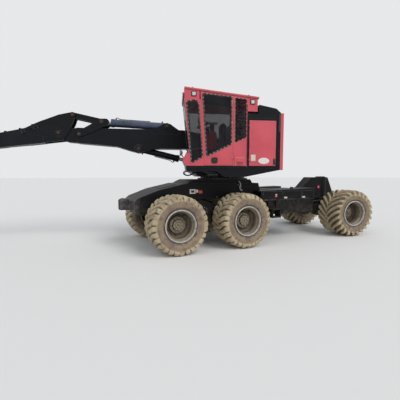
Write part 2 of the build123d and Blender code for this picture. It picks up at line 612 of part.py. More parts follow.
# lamp u, z of its middle
SIDE_LAMPS = [(964, ROOF_FRONT_Z - 150), (-420, ROOF_FRONT_Z - 285)]
for u, z in SIDE_LAMPS:
    roof -= block(u - LAMP / 2, u + LAMP / 2, SIDE_Y - 40, SIDE_Y + 1, z - LAMP / 2, z + LAMP / 2)
nodes["cab_roof"] = TO_UPPER * roof

# Lamps, seated in the roof boxes
lamps = Part()
for u, z in SIDE_LAMPS:
    edge = LAMP / 2 - SEAT_GAP
    lamps += block(u - edge, u + edge, SIDE_Y - 40 + SEAT_GAP, SIDE_Y + 12, z - edge, z + edge)
nodes["work_lamps"] = TO_UPPER * lamps


# Glass in the fixed panels
def side_pane(outline, y_mid):
    return side_plate(inset(outline, SEAT_GAP), y_mid - GLASS_T / 2, y_mid + GLASS_T / 2)


glass = side_pane(quarter_window, SIDE_Y - 15)
glass += side_pane(mesh_window, SIDE_Y - 38)
glass += side_pane(right_window, CAB_RIGHT_Y + 15)
glass += front_slab([
    (front_u(screen_z0) - 20, screen_z0 + SEAT_GAP), (front_u(screen_z0) - 12, screen_z0 + SEAT_GAP),
    (front_u(screen_z1) - 12, screen_z1 - SEAT_GAP), (front_u(screen_z1) - 20, screen_z1 - SEAT_GAP)],
    front_y0 + PILLAR + SEAT_GAP, front_y1 - PILLAR - SEAT_GAP)
glass += block(CAB_REAR_U + 15, CAB_REAR_U + 15 + GLASS_T, front_y0 + 130 + SEAT_GAP,
               front_y1 - 130 - SEAT_GAP, WINDOW_LOW_Z + SEAT_GAP, REAR_WINDOW_TOP_Z - SEAT_GAP)
nodes["cab_glass"] = TO_UPPER * glass

# Mesh grille in the rear side window
GRILLE_Y0 = SIDE_Y - 24
GRILLE_Y1 = SIDE_Y - 12
GRILLE_BAR = 11
GRILLE_COLUMNS = 5
GRILLE_ROWS = 14
mesh_frame = side_plate(inset(mesh_window, SEAT_GAP), GRILLE_Y0, GRILLE_Y1)
mesh_hole = side_plate(inset(mesh_window, 14), GRILLE_Y0 - 1, GRILLE_Y1 + 1)
mesh_u0, mesh_u1 = mesh_window[0][0], mesh_window[1][0]
mesh_z0, mesh_z1 = mesh_window[1][1], mesh_window[2][1]
bars = Part()
for i in range(1, GRILLE_COLUMNS):
    u = mesh_u0 + (mesh_u1 - mesh_u0) * i / GRILLE_COLUMNS
    bars += block(u - GRILLE_BAR / 2, u + GRILLE_BAR / 2, GRILLE_Y0, GRILLE_Y1, mesh_z0, mesh_z1)
for i in range(1, GRILLE_ROWS):
    z = mesh_z0 + (mesh_z1 - mesh_z0) * i / GRILLE_ROWS
    bars += block(mesh_u0, mesh_u1, GRILLE_Y0, GRILLE_Y1, z - GRILLE_BAR / 2, z + GRILLE_BAR / 2)
grille = mesh_frame - (mesh_hole - bars)
nodes["window_grille"] = TO_UPPER * grille

# Cab door, hinged at its rear edge
door_z0 = WALL_Z0 + DOOR_GAP
DOOR_TOP_U = door_front_u(ROOF_FRONT_Z - 100)
door_outline = [(DOOR_REAR_U, door_z0), (door_front_u(door_z0), door_z0),
                (DOOR_TOP_U, roof_under(DOOR_TOP_U) - DOOR_GAP),
                (DOOR_REAR_U, roof_under(DOOR_REAR_U) - DOOR_GAP)]
door_window = [(655, 2225), (745, roof_under(745) - 64), (95, roof_under(95) - 53), (95, 2500)]
door = side_plate(door_outline, INNER_Y1, SIDE_Y) - side_plate(door_window, INNER_Y1 - 1, SIDE_Y + 1)
for z in HINGES_Z:
    door += block(DOOR_REAR_U, DOOR_REAR_U + 40, SIDE_Y - 2, SIDE_Y + 12, z, z + HINGE_H)
    door += block(HINGE_U, DOOR_REAR_U + 1, SIDE_Y + 2, SIDE_Y + 12, z, z + HINGE_H)
    door += rod_z(HINGE_U, HINGE_Y, HINGE_R, z, z + HINGE_H)
    door -= rod_z(HINGE_U, HINGE_Y, HINGE_PIN_R + SEAT_GAP, z - 1, z + HINGE_H + 1)
nodes["cab_door"] = TO_UPPER * door
nodes["door_glass"] = TO_UPPER * side_pane(door_window, SIDE_Y - 15)

# Seat
seat = block(180, 700, 480, 960, 2330, 2450) + block(120, 230, 490, 950, 2451 - 60, 3050)
seat += block(300, 560, 600, 840, FLOOR_TOP + SEAT_GAP, 2340)
nodes["seat"] = TO_UPPER * seat

# Engine house behind the cab, hollow, open on the left behind its door
HOOD_FRONT_U = CAB_REAR_U - 8
HOOD_Z0 = DECK_TOP_Z + SEAT_GAP
HOOD_T = 30
HOOD_TOP_Z = ROOF_FRONT_Z - 340
HOOD_STEP_Z = HOOD_TOP_Z - 210
hood_outline = [(HOOD_FRONT_U, HOOD_Z0), (HOOD_FRONT_U, HOOD_STEP_Z), (-585, HOOD_STEP_Z), (-590, HOOD_TOP_Z),
                (-1010, HOOD_TOP_Z - 75), (HOOD_REAR_U, HOOD_TOP_Z - 170), (HOOD_REAR_U, HOOD_Z0)]
HOOD_Y = 1295
EDOOR_U0 = -1010
EDOOR_U1 = -355
EDOOR_Z0 = 1985
EDOOR_Z1 = HOOD_STEP_Z - 155
hood = side_plate(hood_outline, -HOOD_Y, HOOD_Y)
hood -= block(HOOD_REAR_U + HOOD_T, HOOD_FRONT_U - HOOD_T, -HOOD_Y + HOOD_T, HOOD_Y - HOOD_T,
              HOOD_Z0 - 1, HOOD_STEP_Z - 80)
hood -= block(EDOOR_U0 - 5, EDOOR_U1 + 5, HOOD_Y - 60, HOOD_Y + 1, EDOOR_Z0 - 5, EDOOR_Z1 + 5)
EHINGE_U = EDOOR_U1 + 8
EHINGE_Y = HOOD_Y + 18
EHINGE_R = 12
EHINGE_PIN_R = 6
EHINGE_H = 50
EHINGES_Z = (2100, EDOOR_Z1 - 145)
for z in EHINGES_Z:
    hood += hinge_pin(EHINGE_U, EHINGE_Y, HOOD_Y, EHINGE_PIN_R, EHINGE_R - 2, z, EHINGE_H)
nodes["engine_hood"] = TO_UPPER * hood
edoor = block(EDOOR_U0, EDOOR_U1, HOOD_Y - 30, HOOD_Y + 5, EDOOR_Z0, EDOOR_Z1)
for z in EHINGES_Z:
    edoor += block(EDOOR_U1 - 40, EHINGE_U, HOOD_Y + 4, HOOD_Y + 14, z, z + EHINGE_H)
    edoor += rod_z(EHINGE_U, EHINGE_Y, EHINGE_R, z, z + EHINGE_H)
    edoor -= rod_z(EHINGE_U, EHINGE_Y, EHINGE_PIN_R + SEAT_GAP, z - 1, z + EHINGE_H + 1)
nodes["engine_door"] = TO_UPPER * edoor
ENGINE_TOP_Z = HOOD_STEP_Z - 350
engine = block(-1020, -400, -700, 800, HOOD_Z0, ENGINE_TOP_Z)
nodes["engine_block"] = TO_UPPER * engine
rear_weight = block(HOOD_REAR_U - 75, HOOD_REAR_U - SEAT_GAP, -HOOD_Y, HOOD_Y, DECK_TOP_Z - 45,
                    HOOD_TOP_Z - 180)
nodes["counterweight"] = TO_UPPER * rear_weight

# Hydraulic tank on the right
tank = side_plate([(-290, HOOD_Z0), (880, HOOD_Z0), (880, 2450), (760, 2620), (-290, 2620)], -1280, -530)
nodes["hydraulic_tank"] = TO_UPPER * tank

# Main boom: a box, two cheeks for the stick cylinder's foot, and a narrow nose for the knee
BY0 = BOOM_Y - BOOM_HALF_W
BY1 = BOOM_Y + BOOM_HALF_W
BOOM_TOP_Z = 2980
BOOM_BOX_U1 = 3860
NOSE_HALF_W = 128
KNEE_PIN_R = 45
LIFT_PIN_R = 45
FOOT_PIN_R = 38
ROCKER_PIN_R = 40
LIFT_POCKET_HALF = 97
boom_side = [
    (300, 2540), (620, 2500), (1148, 2475), (1825, 2475), (LIFT_EYE[0] - 98, LIFT_EYE[1] - 95),
    (LIFT_EYE[0] - 38, LIFT_EYE[1] - 115), (LIFT_EYE[0] + 32, LIFT_EYE[1] - 113),
    (LIFT_EYE[0] + 122, LIFT_EYE[1] - 85), (2850, 2522), (BOOM_BOX_U1, 2600), (BOOM_BOX_U1, BOOM_TOP_Z),
    (1100, BOOM_TOP_Z), (620, 2900), (300, 2870)]
boom = side_plate(boom_side, BY0, BY1)
boom += rod_y(BOOM_FOOT[0], BOOM_FOOT[1], 168, BY0, BY1)
boom_nose = [(BOOM_BOX_U1 - 45, 2615, 15), (STICK_PIN[0] - 210, 2633, 15), (*STICK_PIN, 125),
             (BOOM_BOX_U1 - 45, BOOM_TOP_Z - 15, 15)]
boom += side_hull(boom_nose, BOOM_Y - NOSE_HALF_W, BOOM_Y + NOSE_HALF_W)
foot_cheek = [(1190, 2900, 60), (1850, 2910, 60), (STICK_CYL_BASE[0] + 60, STICK_CYL_BASE[1] - 15, 80),
              (STICK_CYL_BASE[0] - 60, STICK_CYL_BASE[1] - 20, 80)]
for y0, y1 in ((BY0, BY0 + 40), (BY1 - 40, BY1)):
    boom += side_hull(foot_cheek, y0, y1)
lift_pocket = [
    (LIFT_EYE[0] + 122, 2300), (LIFT_EYE[0] + 122, LIFT_EYE[1] + 115), (LIFT_EYE[0] - 78, LIFT_EYE[1] + 115),
    (LIFT_EYE[0] - 528, LIFT_EYE[1] + 15), (LIFT_EYE[0] - 778, LIFT_EYE[1] - 35), (LIFT_EYE[0] - 778, 2300)]
boom -= side_plate(lift_pocket, BOOM_Y - LIFT_POCKET_HALF, BOOM_Y + LIFT_POCKET_HALF)
boom -= rod_y(*BOOM_FOOT, 55 + SEAT_GAP, BY0 - 1, BY1 + 1)
boom -= rod_y(*STICK_PIN, KNEE_PIN_R + SEAT_GAP, BY0, BY1)
boom += rod_y(*LIFT_EYE, LIFT_PIN_R, BY0 - 12, BY1 + 12)
boom += rod_y(*STICK_CYL_BASE, FOOT_PIN_R, BY0 - 10, BY1 + 10)
boom += rod_y(*ROCKER_PIN, ROCKER_PIN_R, BY0 - 42, BY1 + 42)
nodes["main_boom"] = TO_UPPER * boom

# Stick: two knee plates outside the boom's nose run into a box that narrows to the wrist
KNEE_IN = NOSE_HALF_W + 7
KNEE_OUT = 165
KNEE_PIN_HALF = 185
EAR_PIN_R = 34
WRIST_HALF_W = 125
STICK_BOX_U0 = 4660
NARROW_U0 = 5080
NARROW_U1 = 5600
knee_plate = [
    (4172, 2655), (4700, 2588), (4700, 3140), (4645, 3160), (4280, 3306), (4076, 3354), (3960, 3378), (3868, 3330),
    (3865, 3290), (3943, 3084), (4096, 2794), (4172, 2715)]
knee_cover = [(4060, 3356), (4055, 3331), (4275, 3280), (STICK_BOX_U0 + 10, 3126), (STICK_BOX_U0 + 10, 3150),
              (4280, 3306)]
knee_leaf = [(STICK_PIN[0] - 20, STICK_PIN[1], 125), (4880, 2785, 28), (5060, 2838, 15), (4500, 2985, 25)]
stick_box = [
    (STICK_BOX_U0, 2593), (4909, 2559), (5694, 2464), (7130, 2290), (7130, 2480), (5676, 2815), (5088, 2951),
    (4847, 3071), (STICK_BOX_U0, 3154)]
stick = side_plate(stick_box, BOOM_Y - KNEE_OUT, BOOM_Y + KNEE_OUT)
stick += side_plate(knee_cover, BOOM_Y - KNEE_IN - 1, BOOM_Y + KNEE_IN + 1)
for sign in (1, -1):
    y0, y1 = sorted((BOOM_Y + sign * KNEE_IN, BOOM_Y + sign * KNEE_OUT))
    stick += side_plate(knee_plate, y0, y1)
    stick += rod_y(*STICK_EAR, 72, y0, y1)
    y0, y1 = sorted((BOOM_Y + sign * KNEE_IN, BOOM_Y + sign * (KNEE_OUT + 12)))
    stick += side_hull(knee_leaf, y0, y1) - block(STICK_BOX_U0, 5200, y0, BOOM_Y + sign * KNEE_OUT, 2500, 3200)
    narrow = [(u, BOOM_Y + sign * y, 2200) for u, y in (
        (NARROW_U0, KNEE_OUT), (NARROW_U1, WRIST_HALF_W), (7200, WRIST_HALF_W), (7200, 220), (NARROW_U0, 220))]
    stick -= prism(narrow, (0, 0, 900))
stick += rod_y(*STICK_EAR, EAR_PIN_R, BOOM_Y - KNEE_PIN_HALF, BOOM_Y + KNEE_PIN_HALF)
stick += rod_y(*STICK_PIN, KNEE_PIN_R, BOOM_Y - KNEE_PIN_HALF, BOOM_Y + KNEE_PIN_HALF)
wrist_y0 = BOOM_Y - WRIST_HALF_W
wrist_y1 = BOOM_Y + WRIST_HALF_W
stick += side_hull([(7100, 2400, 90), (*WRIST, 105)], wrist_y0, wrist_y1)
stick += rod_y(*WRIST, 52, BOOM_Y - 176, BOOM_Y + 176)
for y0, y1 in ((BOOM_Y - 96, BOOM_Y - 66), (BOOM_Y + 66, BOOM_Y + 96)):
    stick += side_hull([(5800, 2700, 60), (6120, 2640, 60), (*TILT_BASE, 55)], y0, y1)
stick += rod_y(*TILT_BASE, 28, BOOM_Y - 104, BOOM_Y + 104)
nodes["stick"] = TO_UPPER * stick

# Boom cylinder, stick cylinder and tilt cylinder, each in the boom's plane
LIFT_R = 85
STICK_CYL_R = 100
TILT_CYL_R = 60
# name, barrel's pin, rod's eye, barrel radius, rod radius, barrel length, eye half width, pin radius, travel in
CYLINDERS = [
    ("lift", LIFT_EYE, LIFT_BASE, LIFT_R, 50, 1100, LIFT_EYE_HALF, LIFT_PIN_R, 145),
    ("stick", STICK_CYL_BASE, JOINT_J, STICK_CYL_R, 46, 1450, 44, FOOT_PIN_R, 35),
    ("tilt", TILT_BASE, TILT_EAR, TILT_CYL_R, 34, 950, 38, 28, 267),
]
for name, base, eye, barrel_r, rod_r, barrel_len, eye_half, pin_r, travel_in in CYLINDERS:
    barrel, rod = cylinder_parts((base[0], BOOM_Y, base[1]), (eye[0], BOOM_Y, eye[1]),
                                 barrel_r, rod_r, barrel_len, eye_half, pin_r, travel_in, (0, 1, 0))
    nodes[f"{name}_barrel"] = TO_UPPER * barrel
    nodes[f"{name}_rod"] = TO_UPPER * rod

# Rocker plates outside the boom, and the link that pushes the stick's ear
LINK_IN = 88
LINK_OUT = KNEE_IN - 9
LINK_R = 72
rocker = Part()
for sign in (1, -1):
    lo, hi = sorted((BOOM_Y + sign * (BOOM_HALF_W + 8), BOOM_Y + sign * (BOOM_HALF_W + 34)))
    plate = side_hull([(*ROCKER_PIN, 72), (*JOINT_J, 68), (JOINT_J[0] - 105, JOINT_J[1] - 20, 90)], lo, hi)
    plate -= rod_y(*ROCKER_PIN, ROCKER_PIN_R + SEAT_GAP, lo - 1, hi + 1)
    lo, hi = sorted((BOOM_Y + sign * (LINK_OUT + 8), BOOM_Y + sign * (BOOM_HALF_W + 9)))
    plate += rod_y(*JOINT_J, 48, lo, hi)
    rocker += plate
nodes["rocker"] = TO_UPPER * rocker

link = Part()
for sign in (1, -1):
    lo, hi = sorted((BOOM_Y + sign * LINK_IN, BOOM_Y + sign * LINK_OUT))
    link += side_hull([(*JOINT_J, LINK_R), (*STICK_EAR, LINK_R)], lo, hi)


def along_link(share):
    return [JOINT_J[i] + share * (STICK_EAR[i] - JOINT_J[i]) for i in (0, 1)]


link += side_hull([(*along_link(0.32), 50), (*along_link(0.7), 50)], BOOM_Y - LINK_IN - 1, BOOM_Y + LINK_IN + 1)
link -= rod_y(*STICK_EAR, EAR_PIN_R + SEAT_GAP, BOOM_Y - KNEE_IN, BOOM_Y + KNEE_IN)
nodes["link"] = TO_UPPER * link

# Felling head, about the wrist
HEAD = Pos(WRIST[0], BOOM_Y, WRIST[1])
TOWER_HALF = 300
TOWER_TOP = 900
TOWER_LOW = -925
SAW_U = 560
SAW_R = 600
SKIRT_T = 24
SAW_CLEAR = 36
SAW_Z = -1010
SAW_T = 28
HOUSING_R = SAW_R + SAW_CLEAR + SKIRT_T
CHEEK_T = 40
head = block(120, 160, -TOWER_HALF, TOWER_HALF, TOWER_LOW, TOWER_TOP)
head -= block(119, 161, -190, 190, 480, 800)
head -= block(119, 161, -190, 190, -780, -420)
cheek = [(120, TOWER_LOW), (500, TOWER_LOW), (430, -700), (400, -300), (330, 200), (250, TOWER_TOP),
         (120, TOWER_TOP)]
head += both_sides(side_plate(cheek, TOWER_HALF - CHEEK_T, TOWER_HALF))
for z in (-420, -20, 440, 830):
    head += block(150, 260, -TOWER_HALF + 10, TOWER_HALF - 10, z, z + 28)
for y0, y1 in ((-172, -135), (135, 172)):
    head += side_hull([(0, 0, 98), (150, -230, 60), (150, 230, 60)], y0, y1)
head -= rod_y(0, 0, 52 + SEAT_GAP, -200, 200)
tilt_u = TILT_EAR[0] - WRIST[0]
tilt_z = TILT_EAR[1] - WRIST[1]
for y0, y1 in ((-86, -56), (56, 86)):
    head += side_hull([(tilt_u, tilt_z, 52), (150, tilt_z - 110, 45), (150, tilt_z + 110, 45)], y0, y1)
housing = rod_z(SAW_U, 0, HOUSING_R, TOWER_LOW - 25, TOWER_LOW + 5)
housing -= block(SAW_U + 330, SAW_U + 900, -900, 900, TOWER_LOW - 60, TOWER_LOW + 60)
skirt = rod_z(SAW_U, 0, HOUSING_R, TOWER_LOW - 145, TOWER_LOW - 20) \
    - rod_z(SAW_U, 0, HOUSING_R - SKIRT_T, TOWER_LOW - 200, TOWER_LOW)
skirt -= block(SAW_U + 120, SAW_U + 900, -900, 900, TOWER_LOW - 200, TOWER_LOW + 10)
pan = rod_z(SAW_U, 0, HOUSING_R, TOWER_LOW - 165, TOWER_LOW - 140) \
    - rod_z(SAW_U, 0, 380, TOWER_LOW - 200, TOWER_LOW)
pan -= block(SAW_U - 60, SAW_U + 900, -900, 900, TOWER_LOW - 200, TOWER_LOW)
motor = rod_z(SAW_U - 20, 0, 290, TOWER_LOW, TOWER_LOW + 185)
head += housing + skirt + pan + motor
ARM_PIVOT = (258, 362)
ARM_PIN_R = 28
ARM_IN_R = 395
ARM_OUT_R = 480
# name, side, lowest z, highest z
ARMS = [("harvest_arm_left", 1, -330, -250), ("harvest_arm_right", -1, -235, -155),
        ("accumulator_arm", -1, 300, 360)]


def ring_sector(r0, r1, from_deg, to_deg, z0, z1):
    """A flat piece of a ring about the saw's axis."""
    def at(r, deg):
        return Vector(SAW_U + r * math.cos(math.radians(deg)), r * math.sin(math.radians(deg)), z0)
    mid = (from_deg + to_deg) / 2
    face = Face(Wire([
        Edge.make_three_point_arc(at(r1, from_deg), at(r1, mid), at(r1, to_deg)),
        Edge.make_line(at(r1, to_deg), at(r0, to_deg)),
        Edge.make_three_point_arc(at(r0, to_deg), at(r0, mid), at(r0, from_deg)),
        Edge.make_line(at(r0, from_deg), at(r1, from_deg))]))
    return Part() + Solid.extrude(face, Vector(0, 0, z1 - z0))


for name, side, z0, z1 in ARMS:
    arm = ring_sector(ARM_IN_R, ARM_OUT_R, 118, -8, z0, z1)
    root_r = (ARM_IN_R + ARM_OUT_R) / 2
    root = (SAW_U + root_r * math.cos(math.radians(112)), root_r * math.sin(math.radians(112)), 44)
    arm += plan_hull([(ARM_PIVOT[0], ARM_PIVOT[1], 50), root], z0, z1)
    arm -= rod_z(ARM_PIVOT[0], ARM_PIVOT[1], ARM_PIN_R + SEAT_GAP, z0 - 1, z1 + 1)
    nodes[name] = TO_UPPER * HEAD * (arm if side > 0 else mirror_y(arm))
    pin = rod_z(ARM_PIVOT[0], ARM_PIVOT[1], ARM_PIN_R, z0 - 36, z1 + 36)
    for lug_z in (z0 - 36, z1 + 8):
        pin += plan_hull([(ARM_PIVOT[0], ARM_PIVOT[1], 50), (190, 290, 60)], lug_z, lug_z + 28)
    head += pin if side > 0 else mirror_y(pin)
nodes["head_frame"] = TO_UPPER * HEAD * head

disc = rod_z(SAW_U, 0, SAW_R - 20, SAW_Z, SAW_Z + SAW_T)
TEETH = 18
for i in range(TEETH):
    disc += Pos(SAW_U, 0, 0) * Rot(0, 0, 360 / TEETH * i) * block(
        SAW_R - 60, SAW_R, -22, 22, SAW_Z - 6, SAW_Z + SAW_T + 6)
disc += rod_z(SAW_U, 0, 80, SAW_Z, TOWER_LOW - 25 - RUN_GAP)
nodes["saw_disc"] = TO_UPPER * HEAD * disc


def upper_point(u, y, z):
    angle = math.radians(SWING_AT_REST)
    return (SWING_X + u * math.cos(angle) - y * math.sin(angle),
            u * math.sin(angle) + y * math.cos(angle), z)


# The model's origin is the middle of its own box, on the floor
low = Vector(*[min(getattr(s.bounding_box().min, a) for s in nodes.values()) for a in "XYZ"])
high = Vector(*[max(getattr(s.bounding_box().max, a) for s in nodes.values()) for a in "XYZ"])
SHIFT = (-(low.X + high.X) / 2, -(low.Y + high.Y) / 2, -low.Z)

for name, shape in nodes.items():
    export_step(Pos(*SHIFT) * shape, f"parts/{name}.step")
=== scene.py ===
"""Wheeled feller buncher: looks, fittings, seat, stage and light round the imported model."""
import json
import math

import bmesh
import bpy
from mathutils import Matrix, Vector, noise


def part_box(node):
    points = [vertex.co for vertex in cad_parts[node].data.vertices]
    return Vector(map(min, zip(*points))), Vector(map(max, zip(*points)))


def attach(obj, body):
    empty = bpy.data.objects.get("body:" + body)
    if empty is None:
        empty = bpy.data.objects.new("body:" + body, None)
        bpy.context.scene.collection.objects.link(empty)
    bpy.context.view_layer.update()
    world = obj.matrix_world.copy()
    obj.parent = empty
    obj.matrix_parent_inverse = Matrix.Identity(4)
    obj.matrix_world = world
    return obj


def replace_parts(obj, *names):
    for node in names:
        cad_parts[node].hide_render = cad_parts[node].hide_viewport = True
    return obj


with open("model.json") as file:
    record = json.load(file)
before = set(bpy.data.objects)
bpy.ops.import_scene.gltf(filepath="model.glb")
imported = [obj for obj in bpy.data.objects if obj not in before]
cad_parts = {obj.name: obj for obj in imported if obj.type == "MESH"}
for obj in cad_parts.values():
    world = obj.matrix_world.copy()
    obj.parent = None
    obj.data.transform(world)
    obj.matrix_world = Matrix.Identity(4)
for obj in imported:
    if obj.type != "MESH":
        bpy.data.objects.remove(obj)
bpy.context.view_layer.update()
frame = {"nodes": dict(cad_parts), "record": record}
NODES = frame["nodes"]

# The part's own sizes, in metres
SWING_X = -0.92
SWING = math.radians(-16)
STEER = math.radians(-7)
KINGPIN_X = -4.61
TYRE_R = 0.6665
RIM_R = 0.357
SIDE_Y = 1.3
CAB_RIGHT_Y = 0.15
CAB_REAR_U = -0.3
CAB_REAR_BOX_U = -0.545
WALL_T = 0.05
ROOF_T = 0.045
HULL_Y = 0.56
SIDE_BOX_Y = 0.9
HOOD_Y = 1.295
LID_Y = 1.3
COUNTERWEIGHT_U = -1.203
POST_TOP_Z = 1.695
RING_FLANGE_Z = 1.678
BOGIE_PIVOT_Z = 0.88
BOGIE_WHEEL_X = 0.855
BOOM_Y = -0.25
BOOM_HALF_W = 0.18
STICK_HALF_W = 0.165
ARM_HALF_W = 0.125
KNEE_HALF_W = 0.177
TOWER_HALF_W = 0.235
BOOM_TOP_Z = 2.98
TANK_RIGHT_Y = -1.28
TANK_TOP_Z = 2.62
ENGINE_FACE_Y = 0.80
BEAM_TOP_Z = 1.345
NECK_HALF_W = 0.15
BOGIE_FACE_Y = 0.699
HEAD_HALF_W = 0.30
SAW_DECK_Z = -0.740
SAW_GUARD_Z = -0.920
SAW_U = 0.56
SAW_R = 0.6
HINGES_Z = (2.150, 2.950, 3.400)

# Boom pins, as (u, z) in the boom's own plane
BOOM_FOOT = (0.300, 2.700)
LIFT_BASE = (2.278, 2.475)
LIFT_EYE = (0.620, 2.080)
STICK_JACK_BASE = (1.520, 3.085)
STICK_JACK_EYE = (3.215, 3.160)
ROCKER_FOOT = (3.777, 2.822)
LINK_EYE = (3.935, 3.310)
KNEE = (4.290, 2.856)
TILT_BASE = (5.950, 2.880)
TILT_EYE = (7.310, 2.720)
WRIST = (7.25, 2.39)

# The carrier's frame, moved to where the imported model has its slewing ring
ring_low, ring_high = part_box("swing_bearing")
SHIFT = ((ring_low[0] + ring_high[0]) / 2 - SWING_X, (ring_low[1] + ring_high[1]) / 2, 0)
TO_ROW = Matrix.Translation(Vector(SHIFT))
TO_UPPER = TO_ROW @ Matrix.Translation((SWING_X, 0, 0)) @ Matrix.Rotation(SWING, 4, "Z")
TO_STEER = TO_ROW @ Matrix.Translation((KINGPIN_X, 0, 0)) @ Matrix.Rotation(STEER, 4, "Z")
TO_HEAD = TO_UPPER @ Matrix.Translation((WRIST[0], BOOM_Y, WRIST[1]))
# Bodies whose pieces aren't drawn in the upper works' frame
PLACES = {"front_frame": TO_ROW, "steer": TO_STEER, "head": TO_HEAD, "saw": TO_HEAD}
BOTH = (1, -1)
UP = (0, 0, 1)
FORWARD = (1, 0, 0)
LEFT = (0, 1, 0)

# Camera, at the photograph's place
CAMERA_AT = (3.15, 7.37, 1.77)
CAMERA_TURN = -114.7
CAMERA_DIP = 4.8
camera_data = bpy.data.cameras.new("camera")
camera_data.sensor_width = 36
camera_data.lens = 27
camera_data.clip_end = 200
camera = bpy.data.objects.new("camera", camera_data)
bpy.context.scene.collection.objects.link(camera)
camera.matrix_world = (TO_ROW @ Matrix.Translation(CAMERA_AT)
                       @ Matrix.Rotation(math.radians(CAMERA_TURN - 90), 4, "Z")
                       @ Matrix.Rotation(math.radians(90 - CAMERA_DIP), 4, "X"))
bpy.context.scene.camera = camera


def srgb(r, g, b):
    """The shader's linear colour for one given from 0 to 255."""
    def lin(v):
        v /= 255
        return v / 12.92 if v <= 0.04045 else ((v + 0.055) / 1.055) ** 2.4
    return (lin(r), lin(g), lin(b), 1.0)


def feed(tree, x, socket):
    """Sets a socket to a plain number or colour, or links it to another's output."""
    if isinstance(x, (int, float, tuple)):
        socket.default_value = x
    else:
        tree.links.new(x, socket)


def add_node(tree, kind, inputs=None, **sets):
    """A node with its settings, and its inputs fed with plain values or other nodes' outputs."""
    node = tree.nodes.new(kind)
    for key, val in sets.items():
        setattr(node, key, val)
    for key, val in (inputs or {}).items():
        feed(tree, val, node.inputs[key])
    return node


class Surface:
    """A material built from a base colour, with layers mixed over it and one bump chain."""

    def __init__(self, name, colour, rough, metal=0.0, gloss=0.5):
        self.mat = bpy.data.materials.new(name)
        self.mat.use_nodes = True
        self.tree = self.mat.node_tree
        self.shader = self.tree.nodes["Principled BSDF"]
        self.shader.inputs["Metallic"].default_value = metal
        self.shader.inputs["Specular IOR Level"].default_value = gloss
        self.where = self.node("ShaderNodeTexCoord").outputs["Object"]
        self.colour = srgb(*colour)
        self.rough = rough
        self.bump = None

    def node(self, kind, inputs=None, **sets):
        return add_node(self.tree, kind, inputs, **sets)

    def noise(self, scale, detail=4.0, rough=0.55, stretch=(1, 1, 1)):
        mapping = self.node("ShaderNodeMapping", {"Scale": stretch, "Vector": self.where})
        return self.node("ShaderNodeTexNoise", {"Scale": scale, "Detail": detail, "Roughness": rough,
                                                "Vector": mapping.outputs[0]}).outputs["Fac"]

    def ramp(self, source, lo, hi, out_lo=0.0, out_hi=1.0):
        return self.node("ShaderNodeMapRange", {"From Min": lo, "From Max": hi, "To Min": out_lo,
                                                "To Max": out_hi, "Value": source}, clamp=True).outputs[0]

    def patches(self, noise_args, span):
        """A mask where a noise passes through a span: (lo, hi), or with what it gives at each end."""
        return self.ramp(self.noise(*noise_args), *span)

    def math(self, op, a, b):
        return self.node("ShaderNodeMath", {0: a, 1: b}, operation=op).outputs[0]

    def times(self, a, b):
        return self.math("MULTIPLY", a, b)

    def place(self, axis, vector=None):
        where = self.where if vector is None else vector
        return self.node("ShaderNodeSeparateXYZ", {0: where}).outputs[axis]

    def up(self):
        """How far the surface faces upwards, from -1 to 1."""
        return self.place("Z", self.node("ShaderNodeTexCoord").outputs["Normal"])

    def edge(self, radius=0.009):
        """Edges, where paint wears and where a painted highlight is laid: how far a rounded-off normal leaves
        the real one.
        """
        bevel = self.node("ShaderNodeBevel", {"Radius": radius}, samples=4).outputs[0]
        real = self.node("ShaderNodeNewGeometry").outputs["Normal"]
        dot = self.node("ShaderNodeVectorMath", {0: bevel, 1: real}, operation="DOT_PRODUCT")
        return self.ramp(dot.outputs["Value"], 0.985, 0.90)

    def stored(self, name):
        """A value kept on the mesh's points."""
        return self.node("ShaderNodeAttribute", attribute_name=name).outputs["Fac"]

    def shelter(self, distance):
        """How open the surface is to its surroundings, from 0 deep in a recess to 1."""
        return self.node("ShaderNodeAmbientOcclusion", {"Distance": distance}, samples=8).outputs["AO"]

    def mixed(self, kind, mask, a, b):
        return self.node("ShaderNodeMix", {"Factor": mask, "A": a, "B": b}, data_type=kind).outputs["Result"]

    def layer(self, mask, colour, rough=None):
        self.colour = self.mixed("RGBA", mask, self.colour, srgb(*colour))
        if rough is not None:
            self.rough = self.mixed("FLOAT", mask, self.rough, rough)
        return self

    def spots(self, noise_args, span, colour, rough=None):
        return self.layer(self.patches(noise_args, span), colour, rough)

    def relief(self, noise_args, distance, strength=0.6):
        inputs = {"Strength": strength, "Distance": distance, "Height": self.noise(*noise_args)}
        if self.bump is not None:
            inputs["Normal"] = self.bump
        self.bump = self.node("ShaderNodeBump", inputs).outputs[0]
        return self

    def done(self):
        for x, key in ((self.colour, "Base Color"), (self.rough, "Roughness"), (self.bump, "Normal")):
            if x is not None:
                feed(self.tree, x, self.shader.inputs[key])
        return self.mat


